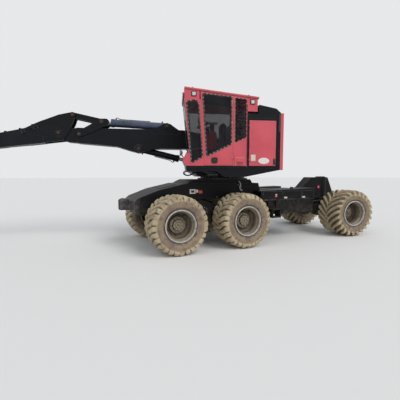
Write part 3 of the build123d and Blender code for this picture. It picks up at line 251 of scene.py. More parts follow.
def painted(name, colour, shade, rough, dust, dust_amount, wear=(60, 58, 55), scale=1.0, gloss=0.4,
            low=None, streak=0.14, nose=None):
    """Field-worn paint: slow colour drift, streaks, dust that settles or splashes, chips, and pale edges that
    are partly wear and partly a painted highlight.
    """
    s = Surface(name, colour, rough, gloss=gloss)
    s.spots((1.7 * scale, 3), (0.35, 0.7), shade)
    s.spots((9 * scale, 5, 0.6, (1, 1, 0.22)), (0.55, 0.78, 0, streak), dust, 0.75)
    lying = s.times(s.ramp(s.up(), 0.35, 0.95, 0.10, 1.0),
                    s.patches((4.5 * scale, 6), (0.32, 0.68, 0.15, 1.0)))
    s.layer(s.times(lying, dust_amount), dust, 0.9)
    if low:
        splash = s.times(s.ramp(s.place("Z"), low[1], low[0]), s.patches((7, 6, 0.65), (0.38, 0.62)))
        s.layer(s.times(splash, low[2]), dust, 0.92)
    if nose:
        rubbed = s.times(s.ramp(s.place("X"), nose, nose + 0.12), s.patches((11, 6, 0.65), (0.36, 0.6)))
        s.layer(s.times(rubbed, 0.65), (106, 101, 100), 0.7)
    # chips are wear; the pale edges are partly wear and partly a painted highlight
    chips = s.patches((38 * scale, 3, 0.7), (0.71, 0.74, 0, 0.4))
    edges = s.times(s.edge(), s.patches((7, 5), (0.40, 0.58, 0, 0.75)))
    s.layer(s.math("MAXIMUM", chips, edges), wear, 0.6)
    s.relief((60 * scale, 2), 0.0006, 0.25)
    return s.relief((3 * scale, 2), 0.006, 0.15).done()


def soiled(name, colour, rough, spots, bumps, metal=0.0, gloss=0.5):
    """A surface with (noise, span, colour, roughness) spots and (noise, height, strength) bumps."""
    s = Surface(name, colour, rough, metal, gloss)
    for spot in spots:
        s.spots(*spot)
    for bump in bumps:
        s.relief(*bump)
    return s


def muddy(name, base, pale, dark, bare, rough, relief, crown=None):
    """Dried mud over rubber: three tones, dark scuffs, lumps, and the crown's mud run down the side."""
    s = soiled(name, base, rough, (
        ((3.0, 6), (0.35, 0.7), pale), ((9, 6, 0.65), (0.5, 0.66, 0, 0.8), dark),
        ((24, 5, 0.7), (0.6, 0.7, 0, 0.75), pale), ((5.5, 5, 0.6), (0.62, 0.7, 0, 0.7), bare, 0.75)),
        (((14, 6, 0.65), relief, 0.7), ((70, 4, 0.6), relief * 0.2, 0.6)), gloss=0.25)
    if crown:
        height = s.math("ADD", s.stored("tread"), s.patches((12, 6, 0.65), (0.3, 0.7, -0.12, 0.12)))
        s.layer(s.ramp(height, 0.50, 0.70), crown)
        s.layer(s.ramp(height, 0.20, 0.06, 0, 0.75), (72, 70, 72), 0.75)
    return s.done()


def steel(name, colour, rough, rust=0.0):
    spots = [((18, 5), (0.5, 0.75, 0, 0.5), (96, 90, 82), 0.6)]
    if rust:
        spots.append(((12, 6, 0.7), (0.45, 0.66, 0, rust), (104, 60, 36), 0.85))
    return soiled(name, colour, rough, spots, [((120, 2, 0.5, (1, 1, 8)), 0.0004, 0.3)], 0.85).done()


def glass(name, colour, rough, alpha, film):
    s = Surface(name, colour, rough, gloss=0.3)
    s.shader.inputs["Alpha"].default_value = alpha
    return s.spots((2.5, 5, 0.6, (1, 1, 0.5)), (0.45, 0.75, 0, film), (98, 100, 100), 0.35).done()


def plain(name, colour, rough, fleck, gloss=0.4):
    """A small plain surface with flecks of dirt."""
    return soiled(name, colour, rough, [((20, 5), (0.5, 0.72, 0, 0.5), fleck, 0.8)],
                  [((50, 3), 0.0006, 0.3)], gloss=gloss).done()


def woven(name, colour, shade):
    """Woven seat cloth: crossed threads, a soft sheen and worn patches."""
    threads = [((260, 1, 0.5, stretch), 0.0012, 0.6) for stretch in ((1, 6, 1), (6, 1, 1))]
    s = soiled(name, colour, 0.9, [((5, 4), (0.4, 0.7), shade)], threads, gloss=0.2)
    s.shader.inputs["Sheen Weight"].default_value = 0.3
    return s.done()


RED = painted("red_paint_faded", (196, 81, 91), (184, 69, 80), 0.44, (186, 128, 120), 0.16, (226, 130, 136),
              gloss=0.35, streak=0.10)
# a lit copy of the red for painted highlights on edges, and a shaded copy for painted shade along seams and
# under the roof's lip
RED_LIT = painted("red_paint_highlight", (222, 116, 124), (208, 98, 108), 0.5, (196, 150, 142), 0.2,
                   (230, 160, 160))
RED_SHADED = painted("red_paint_shaded", (152, 50, 58), (132, 42, 49), 0.5, (120, 84, 80), 0.2, (90, 34, 36))
# the hull's is rubbed bare at its nose, from this far forward
NOSE_X = SHIFT[0] + 1.52
# on these black paints the pale edge colour is partly a painted highlight
BLACK, HULL = (painted(name, (12, 13, 17), (9, 10, 13), 0.45, (92, 86, 74), 0.20, (116, 113, 110), gloss=0.14,
                       low=(0.75, 1.25, 0.30), streak=0.05, nose=nose)
               for name, nose in (("black_paint_worn", None), ("black_paint_hull", NOSE_X)))
HEAD = painted("black_paint_head", (15, 15, 17), (11, 11, 12), 0.5, (88, 80, 66), 0.30, (126, 122, 118),
               gloss=0.18, streak=0.10)
BLACK_CLEAN = painted("black_paint_upper", (12, 14, 20), (9, 11, 15), 0.40, (72, 74, 76), 0.12,
                      (88, 90, 94), gloss=0.16, streak=0.05)
BLACK_DUSTY = painted("black_paint_dusty", (18, 18, 19), (13, 13, 14), 0.6, (96, 84, 66), 0.45,
                      (80, 74, 64), scale=1.4, gloss=0.14, low=(0.45, 1.0, 0.55), streak=0.12)
# bluish grey that stands for the sky's reflection on the stick cylinder's barrel: a painted reflection
BARREL_SKY_SHEEN = painted("barrel_paint_sky_reflection", (68, 80, 106), (38, 46, 62), 0.26, (104, 108, 110), 0.16, (110, 114, 118),
                 gloss=0.45, streak=0.08)
CAST = painted("engine_cast", (34, 34, 35), (26, 26, 28), 0.7, (80, 72, 58), 0.45, gloss=0.2)
# grey mouldings, also used for painted highlights along black plate edges and a painted reflection on the
# hood's corner columns
GREY_TRIM_AND_HIGHLIGHT = painted("grey_moulding_and_highlight", (58, 61, 66), (46, 48, 53), 0.6, (110, 104, 92), 0.3, gloss=0.25)
MUD = muddy("tyre_muddy_rubber", (160, 145, 119), (186, 171, 144), (122, 108, 88), (94, 87, 80), 0.92, 0.016)
# the tread's floor between the bars: mud, darkened further as painted shade between the bars
GROOVE_MUD_AND_SHADE = muddy("tyre_groove_mud_and_shade", (92, 80, 62), (118, 103, 79), (62, 54, 44), (46, 42, 38), 0.95, 0.02)
SIDEWALL = muddy("tyre_sidewall", (124, 108, 93), (144, 127, 105), (98, 86, 80), (68, 66, 68), 0.88, 0.008,
                 (150, 135, 110))
rim = soiled("rim_dusty_grey_shaded_well", (148, 136, 117), 0.65, (
    ((3.5, 5), (0.35, 0.62), (124, 112, 95), 0.85), ((12, 6, 0.65), (0.52, 0.68, 0, 0.7), (92, 82, 69), 0.9),
    ((30, 5, 0.65), (0.6, 0.7, 0, 0.6), (168, 154, 131), 0.9)), [((30, 5), 0.003, 0.6)], 0.05, 0.3)
# painted shade: darker deep in the rim's well and its recesses, by ambient occlusion
RIM = rim.layer(rim.ramp(rim.shelter(0.30), 0.78, 0.34, 0, 0.85), (66, 59, 51), 0.9).done()
FLANGE = soiled("rim_flange_bare", (196, 192, 186), 0.42,
                [((14, 5), (0.5, 0.7, 0, 0.7), (140, 128, 110), 0.8)],
                [((60, 3), 0.001, 0.4)], 0.3).done()
HUB = soiled("hub_greasy", (84, 77, 68), 0.6, [((9, 5), (0.42, 0.66), (122, 111, 95), 0.9)],
             [((30, 5), 0.003, 0.6)], 0.15, 0.3).done()
CHROME = steel("rod_chrome", (205, 208, 212), 0.12)
STEEL = steel("bare_steel", (130, 128, 124), 0.45, 0.45)
PIN = steel("pin_rusty", (58, 50, 46), 0.6, 0.3)
DARK_STEEL = steel("bolt_dark_steel", (56, 55, 54), 0.5, 0.25)
GREASY = painted("ring_greasy", (17, 17, 17), (12, 12, 13), 0.4, (66, 60, 50), 0.35, (74, 72, 68), gloss=0.25)
GLASS = glass("tinted_window", (18, 22, 28), 0.05, 0.14, 0.08)
PANE = glass("smoked_pane", (18, 22, 28), 0.07, 0.36, 0.20)
LENS = glass("lamp_lens", (206, 202, 204), 0.15, 0.97, 0.3)
RUBBER = plain("black_rubber", (20, 21, 23), 0.6, (66, 62, 54))
HOSE = plain("hydraulic_hose", (24, 25, 28), 0.5, (82, 76, 66))
WHITE_PLATE = plain("blank_white_plate", (216, 208, 206), 0.45, (186, 160, 154))
TAPE_WHITE = plain("tape_white", (198, 190, 180), 0.4, (128, 112, 96))
TAPE_RED = plain("tape_red", (186, 58, 48), 0.4, (110, 56, 46))
REFLECTOR = plain("reflector_red", (216, 74, 96), 0.25, (140, 50, 66), 0.7)
GALVANISED = plain("galvanised", (172, 170, 162), 0.42, (116, 108, 96), 0.6)
PALE_SCREW = plain("pale_screw", (206, 204, 204), 0.4, (150, 146, 140), 0.6)
BRASS = plain("brass_fitting", (168, 138, 78), 0.4, (110, 92, 60), 0.6)
MAT = plain("floor_mat", (36, 36, 38), 0.9, (92, 82, 68))
CLOTH = woven("seat_fabric", (172, 40, 46), (136, 30, 38))
CLOTH_DARK = woven("seat_bolster", (52, 52, 56), (38, 38, 42))
ARM_PAD = woven("armrest_vinyl", (164, 140, 142), (140, 116, 120))

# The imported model's looks: by the record's slot, or by node where that is too coarse
LOOK = {"red_paint": RED, "black_paint": BLACK, "rim_paint": RIM, "bare_steel": STEEL, "chromed_rod": CHROME,
        "cast_iron": CAST, "dark_glass": GLASS, "lamp_glass": RUBBER, "tyre": MUD, "seat_cloth": CLOTH}
FINISH = {
    BLACK_DUSTY: ("bogie_beams", "front_axle", "rear_axle", "steer_frame", "boarding_step"),
    BLACK_CLEAN: ("main_boom", "stick", "engine_hood", "rocker", "link", "upper_deck", "hydraulic_tank",
                  "cab_front", "cab_floor", "window_grille"),
    GREASY: ("swing_bearing",),
    HULL: ("front_chassis",),
    HEAD: ("head_frame", "harvest_arm_left", "harvest_arm_right", "accumulator_arm"),
}
LOOK_OF = {name: look for look, names in FINISH.items() for name in names}
for part in frame["record"]["subparts"]:
    look = LOOK_OF.get(part["node"], LOOK[part["material_slot"]])
    # the stick's barrel takes the painted sky reflection, the other barrels plain black
    if "barrel" in part["node"]:
        look = BARREL_SKY_SHEEN if "stick" in part["node"] else BLACK_CLEAN
    NODES[part["node"]].data.materials.clear()
    NODES[part["node"]].data.materials.append(look)


# Outlines, as lists of (a, b)
def inset(points, gap):
    """A convex outline drawn in by a gap on every side, or out by a negative one."""
    count = len(points)
    area = sum(points[i - 1][0] * points[i][1] - points[i][0] * points[i - 1][1] for i in range(count))
    turn = 1 if area > 0 else -1
    lines = []
    for i in range(count):
        (a0, b0), (a1, b1) = points[i], points[(i + 1) % count]
        run = math.hypot(a1 - a0, b1 - b0)
        na, nb = -(b1 - b0) / run * turn, (a1 - a0) / run * turn
        lines.append((na, nb, na * a0 + nb * b0 + gap))
    result = []
    for i in range(count):
        n0a, n0b, d0 = lines[i - 1]
        n1a, n1b, d1 = lines[i]
        det = n0a * n1b - n0b * n1a
        result.append(((d0 * n1b - n0b * d1) / det, (n0a * d1 - d0 * n1a) / det))
    return result


def rounded(points, r, steps=4):
    """An outline with its corners cut to arcs that start r from each corner."""
    result = []
    for i, corner in enumerate(points):
        here = Vector(corner)
        before = (Vector(points[i - 1]) - here).normalized() * r
        after = (Vector(points[(i + 1) % len(points)]) - here).normalized() * r
        for k in range(steps + 1):
            t = k / steps
            result.append(tuple(here + before * (1 - t) ** 2 + after * t ** 2))
    return result


def box(a0, a1, b0, b1, r=0, steps=4):
    points = [(a0, b0), (a1, b0), (a1, b1), (a0, b1)]
    return rounded(points, r, steps) if r else points


def box_at(a, b, half_a, half_b, r=0):
    return box(a - half_a, a + half_a, b - half_b, b + half_b, r)


def ellipse(a, b, half_a, half_b, count, turn=0.0):
    angles = [turn + 2 * math.pi * i / count for i in range(count)]
    return [(a + half_a * math.cos(t), b + half_b * math.sin(t)) for t in angles]


def circle(a, b, r, count, turn=0.0):
    return ellipse(a, b, r, r, count, turn)


def along(points, gap):
    """Points a gap apart along an outline, with one at each corner."""
    result = []
    for i, start in enumerate(points):
        a, b = Vector(start), Vector(points[(i + 1) % len(points)])
        parts = max(1, round((b - a).length / gap))
        result += [tuple(a.lerp(b, k / parts)) for k in range(parts)]
    return result


# Faces of the machine: each takes a place in its own plane, and how far out from it
def flat_face(axis, at, sign):
    """A face across an axis: x faces take (y, z), y faces (x, z) and z faces (x, y)."""
    def lift(a, b, out=0.0):
        place = [a, b]
        place.insert(axis, at + sign * out)
        return Vector(place)
    return lift


def side_face(half, sign, middle=0.0):
    """The left (1) or right (-1) side of a form, half its width from its middle."""
    return flat_face(1, middle + sign * half, sign)


LEFT_FACE = flat_face(1, SIDE_Y, 1)
CAB_RIGHT_FACE = flat_face(1, CAB_RIGHT_Y, -1)
CAB_REAR_FACE = flat_face(0, CAB_REAR_U, -1)


def cab_front_face(a, b, out=0.0):
    raked_u = 1.06 + (b - 2.3) * 0.12 / 1.19
    return Vector((raked_u - 0.084 * (SIDE_Y - a) / (SIDE_Y - CAB_RIGHT_Y) + out, a, b))


def roof_face(a, b, out=0.0):
    return Vector((a, b, 3.75 - 0.094 * (1.18 - a) + out))


def add_object(name, mesh, body):
    """An object of the mesh that rides on a body."""
    obj = bpy.data.objects.new(name, mesh)
    bpy.context.scene.collection.objects.link(obj)
    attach(obj, body)
    return obj


class Bag:
    """Collects verts and faces of many small forms for one joined mesh."""

    def __init__(self):
        self.verts = []
        self.faces = []
        self.index = []
        self.mats = []

    def put(self, verts, faces, mat):
        if mat not in self.mats:
            self.mats.append(mat)
        base = len(self.verts)
        self.verts += [Vector(v) for v in verts]
        self.faces += [tuple(i + base for i in f) for f in faces]
        self.index += [self.mats.index(mat)] * len(faces)

    def rings(self, rings, mat, closed=False):
        """Skins equal rings of points; a closed run of rings meets itself, an open one is capped."""
        n = len(rings[0])
        verts = [v for ring in rings for v in ring]
        faces = []
        for k in range(len(rings) if closed else len(rings) - 1):
            m = (k + 1) % len(rings)
            for i in range(n):
                j = (i + 1) % n
                faces.append((k * n + i, k * n + j, m * n + j, m * n + i))
        if not closed:
            faces.append(tuple(range(n)))
            faces.append(tuple((len(rings) - 1) * n + i for i in range(n)))
        self.put(verts, faces, mat)

    def lathe(self, origin, axis, profile, mat, sides=12, hollow=False):
        """A turned form of (distance along the axis, radius): capped, or hollow with a closed section."""
        axis = Vector(axis).normalized()
        across = axis.orthogonal().normalized()
        other = axis.cross(across)
        turns = [2 * math.pi * i / sides for i in range(sides)]
        away = [across * math.cos(t) + other * math.sin(t) for t in turns]
        rows = [[Vector(origin) + axis * d + way * r for way in away] for d, r in profile]
        self.rings(list(zip(*rows)) if hollow else rows, mat, hollow)

    def hoop(self, origin, axis, profile, mat, sides):
        self.lathe(origin, axis, profile, mat, sides, True)

    def boss(self, lift, place, base, tall, radii, sides=40):
        """A collar round a pin: (inner radius, outer radius, radius at its weld)."""
        inner, outer, foot = radii
        at = lift(*place, base)
        self.hoop(at, lift(*place, base + 1) - at, [(0, inner), (tall, inner), (tall, outer), (0, foot)],
                  BLACK_CLEAN, sides)

    def bolt(self, at, axis, size, mat=None, tall=0.62):
        """A hexagon head on its washer."""
        self.lathe(at, axis, [(0, size * 1.35), (size * 0.18, size * 1.35), (size * 0.2, size),
                              (size * tall, size), (size * (tall + 0.12), size * 0.8)], mat or STEEL, 6)

    def plate(self, lift, outline, low, high, mat, bevel=0.002):
        """A plate on a face, from low to high above it, with its top edge softened."""
        rows = [(outline, low), (outline, high - bevel), (inset(outline, bevel), high)]
        self.rings([[lift(a, b, out) for a, b in points] for points, out in rows], mat)

    def plates(self, lift, *rows):
        """Plates with round corners: (a0, a1, b0, b1, corner, low, high, material, bevel)."""
        for a0, a1, b0, b1, corner, *rest in rows:
            self.plate(lift, box(a0, a1, b0, b1, corner), *rest)

    def surround(self, lift, outline, width, low, high, mat):
        """A flat frame round an outline, on its outer side, from low to high above the face."""
        soft = min(0.003, width / 4, (high - low) / 2)
        rows = [(0, low), (0, high - soft), (-soft, high), (soft - width, high), (-width, high - soft),
                (-width, low)]
        self.rings([[lift(a, b, out) for a, b in inset(outline, gap)] for gap, out in rows], mat, closed=True)

    def lamp(self, lift, a, b, lens, bezel, heights, ring=None):
        """A lamp: halves and corner radius of the lens and of its bezel, and their four heights."""
        low, edge, seat, top = heights
        self.plate(lift, box_at(a, b, *bezel), low, edge, RUBBER)
        glass_edge = box_at(a, b, *lens)
        self.plate(lift, glass_edge, seat, top, LENS)
        if ring:
            self.surround(lift, glass_edge, *ring, GALVANISED)

    def louvres(self, lift, spans, a0, a1, section):
        """Slats from a0 to a1 that start at each of the spans, with (b, out) sections."""
        for b in spans:
            self.rings([[lift(a, b + db, out) for db, out in section] for a in (a0, a1)], BLACK_CLEAN)

    def studs(self, lift, points, r, tall, mat, base=0.0):
        """Domed screw heads on a face."""
        for a, b in points:
            at = lift(a, b, base)
            self.lathe(at, lift(a, b, base + 1) - at, [(-0.001, r), (tall * 0.4, r), (tall * 0.85, r * 0.75),
                                                       (tall, r * 0.3)], mat, 8)

    def bolts(self, lift, points, size, mat=None, base=0.0):
        for a, b in points:
            at = lift(a, b, base)
            self.bolt(at, lift(a, b, base + 1) - at, size, mat)

    def cover(self, lift, edges, corner, inside, gap, size, low=-0.002, mat=None, bevel=0.003, metal=None):
        """A cover plate with bolts a gap apart along a line inside its edge."""
        self.plate(lift, box(*edges, corner), low, 0.008, mat or BLACK, bevel)
        self.bolts(lift, along(inset(box(*edges), inside), gap), size, metal, 0.008)

    def block(self, low, high, mat, soft=0.004):
        """A box with softened edges."""
        (x0, y0, z0), (x1, y1, z1) = low, high
        rows = [(soft, z0), (0, z0 + soft), (0, z1 - soft), (soft, z1)]
        self.rings([[Vector((x, y, z)) for x, y in box(x0 + g, x1 - g, y0 + g, y1 - g, soft * 1.5, 2)]
                    for g, z in rows], mat)

    def tube(self, points, r, mat, sides=8, step=6):
        """A smooth round tube through the points."""
        pts = [Vector(p) for p in points]
        path = []
        for i in range(len(pts) - 1):
            p0, p1, p2, p3 = pts[max(i - 1, 0)], pts[i], pts[i + 1], pts[min(i + 2, len(pts) - 1)]
            for k in range(step):
                t = k / step
                path.append(0.5 * (2 * p1 + (p2 - p0) * t + (2 * p0 - 5 * p1 + 4 * p2 - p3) * t * t
                                   + (3 * p1 - p0 - 3 * p2 + p3) * t ** 3))
        path.append(pts[-1])
        rings = []
        side = None
        for i, p in enumerate(path):
            ahead = (path[min(i + 1, len(path) - 1)] - path[max(i - 1, 0)]).normalized()
            side = ahead.orthogonal() if side is None else side - ahead * side.dot(ahead)
            side.normalize()
            other = ahead.cross(side)
            rings.append([p + (side * math.cos(t) + other * math.sin(t)) * r
                          for t in (2 * math.pi * k / sides for k in range(sides))])
        self.rings(rings, mat)

    def seams(self, lift, r, *lines, mat=None, out=0.0):
        """Weld beads or pressed seams through the points of each line on a face."""
        for line in lines:
            self.tube([lift(a, b, out) for a, b in line], r, mat or BLACK_CLEAN, 6, 1)

    def make(self, name, body, place=None, smooth=False):
        """The joined mesh, moved to its body's frame, with its faces turned outwards."""
        place = place or PLACES.get(body, TO_UPPER)
        mesh = bpy.data.meshes.new(name)
        mesh.from_pydata([place @ v for v in self.verts], [], self.faces)
        for m in self.mats:
            mesh.materials.append(m)
        mesh.polygons.foreach_set("material_index", self.index)
        mesh.validate()
        form = bmesh.new()
        form.from_mesh(mesh)
        bmesh.ops.recalc_face_normals(form, faces=form.faces)
        form.to_mesh(mesh)
        form.free()
        if smooth:
            mesh.polygons.foreach_set("use_smooth", [True] * len(mesh.polygons))
        return add_object(name, mesh, body)


# Tyres: a carcass with slanted bars, turned about Y, then roughened with dried mud
def carcass_profile(width, rim_w, crown_drop):
    """(y, r) from one bead to the other."""
    half = width / 2
    bead = rim_w / 2 - 0.0223
    top = TYRE_R - crown_drop
    right = [(half * 0.86 * t, top - 0.016 * t * t) for t in (k / 10 for k in range(11))]
    for k in range(1, 5):
        a = math.radians(90 * k / 4)
        right.append((half * 0.86 + half * 0.12 * math.sin(a), top - 0.016 - 0.06 * (1 - math.cos(a))))
    for k in range(1, 15):
        t = k / 14
        y = half * 0.98 + half * 0.02 * math.sin(math.pi * min(t * 1.6, 1)) - (half * 0.98 - bead) * t ** 2.6
        rib = 0.006 if k in (2, 3, 10) else 0.0
        right.append((y + rib, top - 0.076 - (top - 0.076 - 0.362) * t))
    right.append((bead, 0.3405))
    return [(-y, r) for y, r in reversed(right[1:])] + right


CARCASS_SIDES = 144
BAR_STEPS = 16
# half of a bar's section, as shares of its width and height: worn round, or still sharp
WORN_BAR = ((0.62, -0.30), (0.53, 0.50), (0.42, 0.84), (0.24, 0.97), (0.0, 1.0))
SHARP_BAR = ((0.70, -0.30), (0.56, 0.72), (0.46, 0.96), (0.24, 1.0), (0.0, 0.97))


def turned(a, y, r):
    return Vector((r * math.sin(a), y, r * math.cos(a)))


def tyre_piece(name, node, body, place, width, rim_w, sign, bars, bar_w, bar_h, sweep, wrap, wave, seed):
    profile = carcass_profile(width, rim_w, bar_h)
    n = len(profile)
    verts = [turned(2 * math.pi * i / CARCASS_SIDES, y, r) for i in range(CARCASS_SIDES) for y, r in profile]
    faces, index = [], []
    for i in range(CARCASS_SIDES):
        j = (i + 1) % CARCASS_SIDES
        for k in range(n - 1):
            faces.append((i * n + k, i * n + k + 1, j * n + k + 1, j * n + k))
            side = min(profile[k][1], profile[k + 1][1]) < TYRE_R - bar_h - 0.07
            index.append(1 if side else 2)
    # distance along the profile from the crown's middle, for laying the bars
    mid = n // 2
    reach = [0.0]
    for k in range(mid, n - 1):
        reach.append(reach[-1] + math.dist(profile[k + 1], profile[k]))

    def on_profile(s, lift):
        k = 0
        while k < len(reach) - 2 and reach[k + 1] < s:
            k += 1
        t = (s - reach[k]) / (reach[k + 1] - reach[k])
        (y0, r0), (y1, r1) = profile[mid + k], profile[mid + k + 1]
        ny, nr = (r0 - r1), (y1 - y0)
        size = math.hypot(ny, nr)
        return y0 + (y1 - y0) * t + ny / size * lift, r0 + (r1 - r0) * t + nr / size * lift

    end = reach[10] + wrap
    half_section = WORN_BAR if wave else SHARP_BAR
    section = [(-o, h * bar_h) for o, h in half_section] + [(o, h * bar_h) for o, h in half_section[-2::-1]]
    row = len(section)
    for half_side in BOTH:
        for b in range(bars):
            start = 2 * math.pi * (b + (0.5 if half_side < 0 else 0)) / bars
            bend = 2 * math.pi * noise.noise((b * 1.7, seed, half_side))
            base = len(verts)
            for k in range(BAR_STEPS + 1):
                t = k / BAR_STEPS
                s = 0.012 + (end - 0.012) * t
                lead = start + (sweep * t ** 0.75 + wave * math.sin(7 * t + bend)) / TYRE_R
                taper = 1 - 0.85 * max(0, (t - 0.74) / 0.26) ** 1.5
                w = bar_w * (0.86 + 0.28 * t + (0.12 * math.sin(5 * t + 2 * bend) if wave else 0))
                for offset, lift in section:
                    y, r = on_profile(s, lift * taper if lift > 0 else lift)
                    verts.append(turned(lead + offset * w / TYRE_R, y * half_side, r))
            cap = tuple(base + c for c in range(row))
            tip = tuple(base + BAR_STEPS * row + c for c in range(row))
            skin = [(p, p + row, p + row + 1, p + 1)
                    for p in (base + k * row + c for k in range(BAR_STEPS) for c in range(row - 1))]
            faces += [f[::half_side] for f in skin + [cap, tip[::-1]]]
            index += [0] * (len(skin) + 2)
    offset = Vector((seed * 3.1, seed * 1.7, 0))
    out = []
    for p in verts:
        r = math.hypot(p.x, p.z)
        if r > 0.4:
            fine = 0.010 if wave else 0.004
            push = noise.noise(p * 9 + offset) * 0.008 + noise.noise(p * 28 + offset) * fine
            grown = min(r + push, TYRE_R - 0.0003)
            p = Vector((p.x * grown / r, p.y, p.z * grown / r))
            p.y += noise.noise(p * 11 - offset) * 0.005
        p.y = max(-width / 2, min(width / 2, p.y)) * sign
        out.append(p)
    mesh = bpy.data.meshes.new(name)
    mesh.from_pydata([place @ p for p in out], [], [f[::sign] for f in faces])
    # slots: bars, sidewall, and the floor between the bars, whose darkness is partly painted shade
    for m in (MUD, SIDEWALL, GROOVE_MUD_AND_SHADE):
        mesh.materials.append(m)
    mesh.polygons.foreach_set("material_index", index)
    mesh.polygons.foreach_set("use_smooth", [i != 0 for i in index])
    height = [(math.hypot(p.x, p.z) - RIM_R) / (TYRE_R - RIM_R) for p in out]
    mesh.attributes.new("tread", "FLOAT", "POINT").data.foreach_set("value", height)
    mesh.validate()
    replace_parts(add_object(name, mesh, body), node)


def wheel_trim(name, body, place, rim_w, dish, sign):
    """The bare flange edge, nuts, studs, cap bolts, valve and mud in the well of one rim."""
    bag = Bag()
    axis = Vector((0, sign, 0))
    half = rim_w / 2
    for section in (
            ((-0.010, 0.3395), (0.002, 0.3400), (0.006, 0.3440), (0.006, 0.3530),
             (0.001, 0.3585), (-0.012, 0.3585)),
            ((-0.030, 0.3260), (-0.012, 0.3225), (-0.004, 0.3265), (-0.004, 0.3290), (-0.030, 0.3290))):
        bag.hoop((0, 0, 0), axis, [(half + d, r) for d, r in section], FLANGE, 96)
    disc = half - dish
    # ring of bolts: how many, radius, height over the disc, head size, material
    for count, r, high, size, mat in ((12, 0.228, 0.0, 0.017, HUB), (12, 0.155, 0.0535, 0.0085, GALVANISED),
                                      (8, 0.098, 0.0945, 0.010, HUB)):
        for x, z in circle(0, 0, r, count, 0.13):
            at = Vector((x, sign * (disc + high), z))
            bag.bolt(at, axis, size, mat, 0.8)
            bag.lathe(at, axis, [(size * 0.7, size * 0.5), (size * 1.5, size * 0.5),
                                 (size * 1.6, size * 0.35)], mat, 8)
    bag.hoop((0, 0, 0), axis, [(disc + 0.094, 0.060), (disc + 0.103, 0.060), (disc + 0.103, 0.066),
                               (disc + 0.094, 0.066)], HUB, 40)
    bag.lathe((0, sign * (disc + 0.0945), 0), axis, [(0, 0.024), (0.010, 0.024), (0.014, 0.018)], HUB, 6)
    bag.tube([(x, sign * (half - d), 0.02) for x, d in ((0.302, 0.17), (0.292, 0.15), (0.286, 0.10))], 0.0055,
             BRASS, 8, 4)
    bag.lathe((-0.19 * sign, sign * (disc - 0.004), 0.19), axis,
              [(0, 0.034), (0.05, 0.032), (0.058, 0.026), (0.058, 0.014), (0.075, 0.012)], RIM, 16)
    bag.make(name, body, place)


# wheel, x, y, tyre width, rim width, dish, then of the bars: how many a side, width, height, sweep,
# how far they wrap over the shoulder, and how much they waver
FRONT_BARS = (28, 0.104, 0.044, -0.14, 0.085, 0.014)
WHEELS = [
    ("front", BOGIE_WHEEL_X, 1.100, 0.700, 0.640, 0.270, *FRONT_BARS),
    ("middle", -BOGIE_WHEEL_X, 1.100, 0.700, 0.640, 0.270, *FRONT_BARS),
    ("rear", 0.0, 1.110, 0.820, 0.760, 0.350, 23, 0.068, 0.052, -0.36, 0.120, 0.0),
]
for number, (wheel, wx, wy, width, rim_w, dish, *bars) in enumerate(WHEELS):
    for side, sign in (("left", 1), ("right", -1)):
        to = (TO_STEER if wheel == "rear" else TO_ROW) @ Matrix.Translation((wx, sign * wy, TYRE_R))
        corner = f"{wheel}_{side}"
        tyre_piece(f"tyre_{corner}_look", f"tyre_{corner}", f"wheel_{corner}", to, width, rim_w, sign, *bars,
                   number * 2 + sign)
        wheel_trim(f"rim_{corner}_trim", f"wheel_{corner}", to, rim_w, dish, sign)

# Cab windows: a smoked pane screwed over each opening on a black gasket
MESH_WINDOW = [(-0.265, 2.655), (-0.015, 2.540), (-0.015, 3.535), (-0.265, 3.509)]
SCREW_GAP = 0.095
# name, body, face, how far the pane laps over the wall, opening
PANES = [
    ("door_pane", "door", LEFT_FACE, 0.026,
     [(0.655, 2.225), (0.745, 3.600), (0.095, 3.550), (0.095, 2.500)]),
    ("quarter_pane", "upper", LEFT_FACE, 0.020,
     [(1.015, 2.060), (1.122, 3.415), (0.935, 3.460), (0.861, 3.372), (0.775, 2.195)]),
    ("right_pane", "upper", CAB_RIGHT_FACE, 0.028,
     [(-0.18, 2.70), (0.87, 2.45), (0.95, 3.40), (-0.18, 3.40)]),
    ("rear_pane", "upper", CAB_REAR_FACE, 0.026, box(0.330, 1.120, 2.700, 3.351)),
    ("windscreen_pane", "upper", cab_front_face, 0.026, box(0.245, 1.205, 2.350, 3.430)),
]
for name, body, lift, lap, opening in PANES:
    bag = Bag()
    bag.surround(lift, inset(opening, 0.004), lap + 0.006, 0.0, 0.004, RUBBER)
    bag.plate(lift, rounded(inset(opening, -lap), 0.02), 0.0042, 0.0092, PANE)
    bag.surround(lift, inset(opening, 0.010), lap + 0.009, 0.0088, 0.0105, RUBBER)
    bag.studs(lift, along(inset(opening, 0.012 - lap), SCREW_GAP), 0.0095, 0.006, PALE_SCREW, 0.0105)
    bag.make(name, body)


def door_fittings():
    """Square handle recess with its button, the pressed lower seam and the hinge leaves' screws."""
    bag = Bag()
    square = box(0.415, 0.555, 2.038, 2.170, 0.014)
    bag.plate(LEFT_FACE, square, 0.0, 0.006, RUBBER)
    bag.surround(LEFT_FACE, inset(square, 0.012), 0.012, 0.005, 0.011, BLACK_CLEAN)
    bag.lathe(LEFT_FACE(0.485, 2.104, 0.005), LEFT,
              [(0, 0.034), (0.007, 0.034), (0.009, 0.030), (0.009, 0.022), (0.006, 0.020)], RUBBER, 24)
    bag.lathe(LEFT_FACE(0.485, 2.104, 0.008), LEFT, [(0, 0.017), (0.006, 0.016), (0.009, 0.010)],
              DARK_STEEL, 20)
    bag.studs(LEFT_FACE, box(0.43, 0.541, 2.052, 2.156), 0.006, 0.004, PALE_SCREW, 0.005)
    # the lower seam drawn in the shaded copy of the red, as a line of painted shade
    bag.seams(LEFT_FACE, 0.002, [(0.06, 2.0), (0.70, 2.0)], mat=RED_SHADED, out=0.001)
    bag.studs(LEFT_FACE, [(0.066, z + dz) for z in HINGES_Z for dz in (0.014, 0.046)], 0.007, 0.005,
              GALVANISED, 0.012)
    bag.make("door_fittings", "door")


